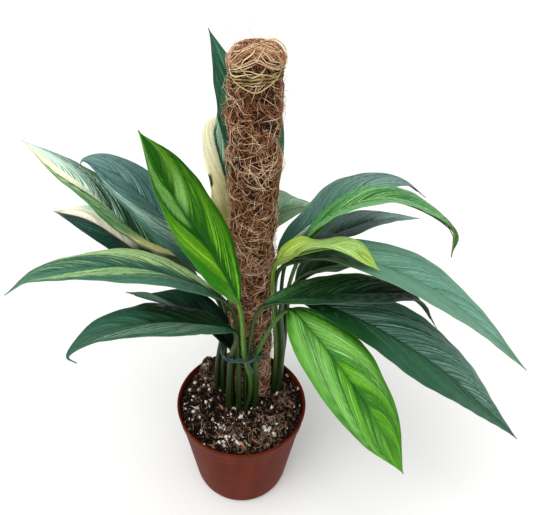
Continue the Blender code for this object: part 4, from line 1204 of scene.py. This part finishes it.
# Leaf blade, underside: the same colours seen through a duller, greyer skin.
underside, tree, shader = new_material("leaf_underside")
tissue = add_node(tree, "Attribute", "Color", attribute_name="tissue")
veins = add_node(tree, "UVMap", "UV", uv_map="veins")
paler = add_node(tree, "Mix", "Result", {
    "Factor": 0.18, "A": tissue, "B": linear("7F9A78")}, data_type="RGBA")
bloom = add_node(tree, "MapRange", "Result", {
    "Value": vein_grains(tree, veins, 2.4, 30, 2.0), "From Min": 0.35, "From Max": 0.65,
    "To Min": 0.85, "To Max": 1.15})
toned = add_node(tree, "VectorMath", "Vector", {0: paler, "Scale": bloom}, operation="SCALE")
tree.links.new(toned, shader.inputs["Base Color"])
shader.inputs["Roughness"].default_value = 0.55
shader.inputs["Specular IOR Level"].default_value = 0.2

# Stalks: smooth, fibrous and a little glossy, dark green, with painted shade: nearly black towards the soil
# and darker along the channel.
stalk_skin, tree, shader = new_material("stalk_skin")
place = add_node(tree, "TexCoord", "Object")
tissue = add_node(tree, "Attribute", "Color", attribute_name="tissue")
drawn_out = add_node(tree, "Mapping", "Vector", {"Vector": place, "Scale": (1, 1, 0.05)})
fibres = add_node(tree, "TexNoise", "Fac", {"Vector": drawn_out, "Scale": 1 / (1.4 * MM), "Detail": 3.0})
tone = add_node(tree, "MapRange", "Result", {
    "Value": fibres, "From Min": 0.3, "From Max": 0.7, "To Min": 0.7, "To Max": 1.35})
toned = add_node(tree, "VectorMath", "Vector", {0: tissue, "Scale": tone}, operation="SCALE")
tree.links.new(toned, shader.inputs["Base Color"])
shader.inputs["Roughness"].default_value = 0.42
shader.inputs["Specular IOR Level"].default_value = 0.3

for number, leaf in enumerate(LEAVES):
    blade = make_blade(leaf, number)
    stalk = make_stalk(leaf)
    choose(stalk, blade)
    bpy.ops.object.join()
    finish_piece(blade, "leaf_" + leaf["name"], "leaf_green", leaf["node"])


# Tie: two thin blue-green raffia strands, twisted together, wound twice round the stalks of
# the front shoot at 158 mm, with both ends loose at the front.
TIE_LEVEL = 158.0
TIE_RISE = 2.4
TIE_TILT = 4.0
TIE_RADIUS = 0.62
TIE_RING = [(6, -14.2), (13, -11), (17.6, -6), (15, -0.8), (8, -0.7), (0, 1.4), (-7, 7.8), (-13, 8.6),
            (-17, 3), (-16, -6), (-11, -13.4), (-2, -15)]

raffia = fibre_material("dyed_raffia", 1.2, 0.7, [(0.3, "10282E"), (0.6, "24504F"), (0.95, "4F8583")], 0.5)

ring_points = [Vector((8.5, -16.5, TIE_LEVEL - 8)), Vector((9.5, -16.5, TIE_LEVEL - 3))]
for step in range(2 * len(TIE_RING)):
    x, y = TIE_RING[step % len(TIE_RING)]
    out = 1.0 if step < len(TIE_RING) else 1.012
    level = TIE_LEVEL + TIE_RISE * step / len(TIE_RING) + TIE_TILT * ramped(2, -12, y)
    ring_points.append(Vector((x, y, 0)) * out + Vector((0, 0, level)))
ring_points += [Vector((3.5, -17, TIE_LEVEL + 2 * TIE_RISE + TIE_TILT)),
                Vector((8, -17.5, TIE_LEVEL + 2 * TIE_RISE + TIE_TILT - 2.5))]
core_route = smooth_route(ring_points, 10)
routes = []
for strand in range(2):
    route = []
    for step, point in enumerate(core_route):
        ahead = core_route[min(step + 1, len(core_route) - 1)] - core_route[max(step - 1, 0)]
        out = ahead.cross(Vector((0, 0, 1))).normalized()
        lay = step * 0.42 + math.pi * strand
        route.append(point + out * TIE_RADIUS * math.cos(lay) + Vector((0, 0, TIE_RADIUS * math.sin(lay))))
    routes.append(route)
strands("raffia_tie", routes, [TIE_RADIUS] * 2, [0.1, 0.3], 1, raffia, "blue_green_raffia", "shoot_tie")


# The picture: a pale matt floor, soft light from a large source above, and the camera a little
# above the level of the pole's top, close in front and tilted 34 degrees down.
floor_paint, tree, shader = new_material("pale_floor")
shader.inputs["Base Color"].default_value = linear("F2F2F0")
shader.inputs["Roughness"].default_value = 0.9
choose()
bpy.ops.mesh.primitive_plane_add(size=60)
floor = bpy.context.object
floor.name = "floor"
floor.data.materials.append(floor_paint)

key_light = bpy.data.lights.new("key_light", "SUN")
key_light.energy = 2.1
key_light.angle = math.radians(55)
lamp = bpy.data.objects.new("key_light", key_light)
bpy.context.scene.collection.objects.link(lamp)
lamp.rotation_euler = (math.radians(30), 0, math.radians(-30))
world = bpy.data.worlds.new("studio")
world.use_nodes = True
world.node_tree.nodes["Background"].inputs["Color"].default_value = (1.0, 1.0, 1.0, 1.0)
world.node_tree.nodes["Background"].inputs["Strength"].default_value = 0.68
bpy.context.scene.world = world
bpy.context.scene.view_settings.view_transform = "Standard"

CAMERA_PLACE = (0.0, -0.2801, 0.4471)
CAMERA_PITCH = 33.8
FOCAL_PIXELS = 450.0
IMAGE_WIDTH = 533
CENTRE_LINE = 241.4
camera_data = bpy.data.cameras.new("camera")
camera_data.sensor_width = 36.0
camera_data.lens = 36.0 * FOCAL_PIXELS / IMAGE_WIDTH
camera_data.shift_x = (IMAGE_WIDTH / 2 - CENTRE_LINE) / IMAGE_WIDTH
camera_data.clip_start = 0.01
camera = bpy.data.objects.new("camera", camera_data)
bpy.context.scene.collection.objects.link(camera)
camera.location = CAMERA_PLACE
camera.rotation_euler = (math.radians(90 - CAMERA_PITCH), 0, 0)
bpy.context.scene.camera = camera
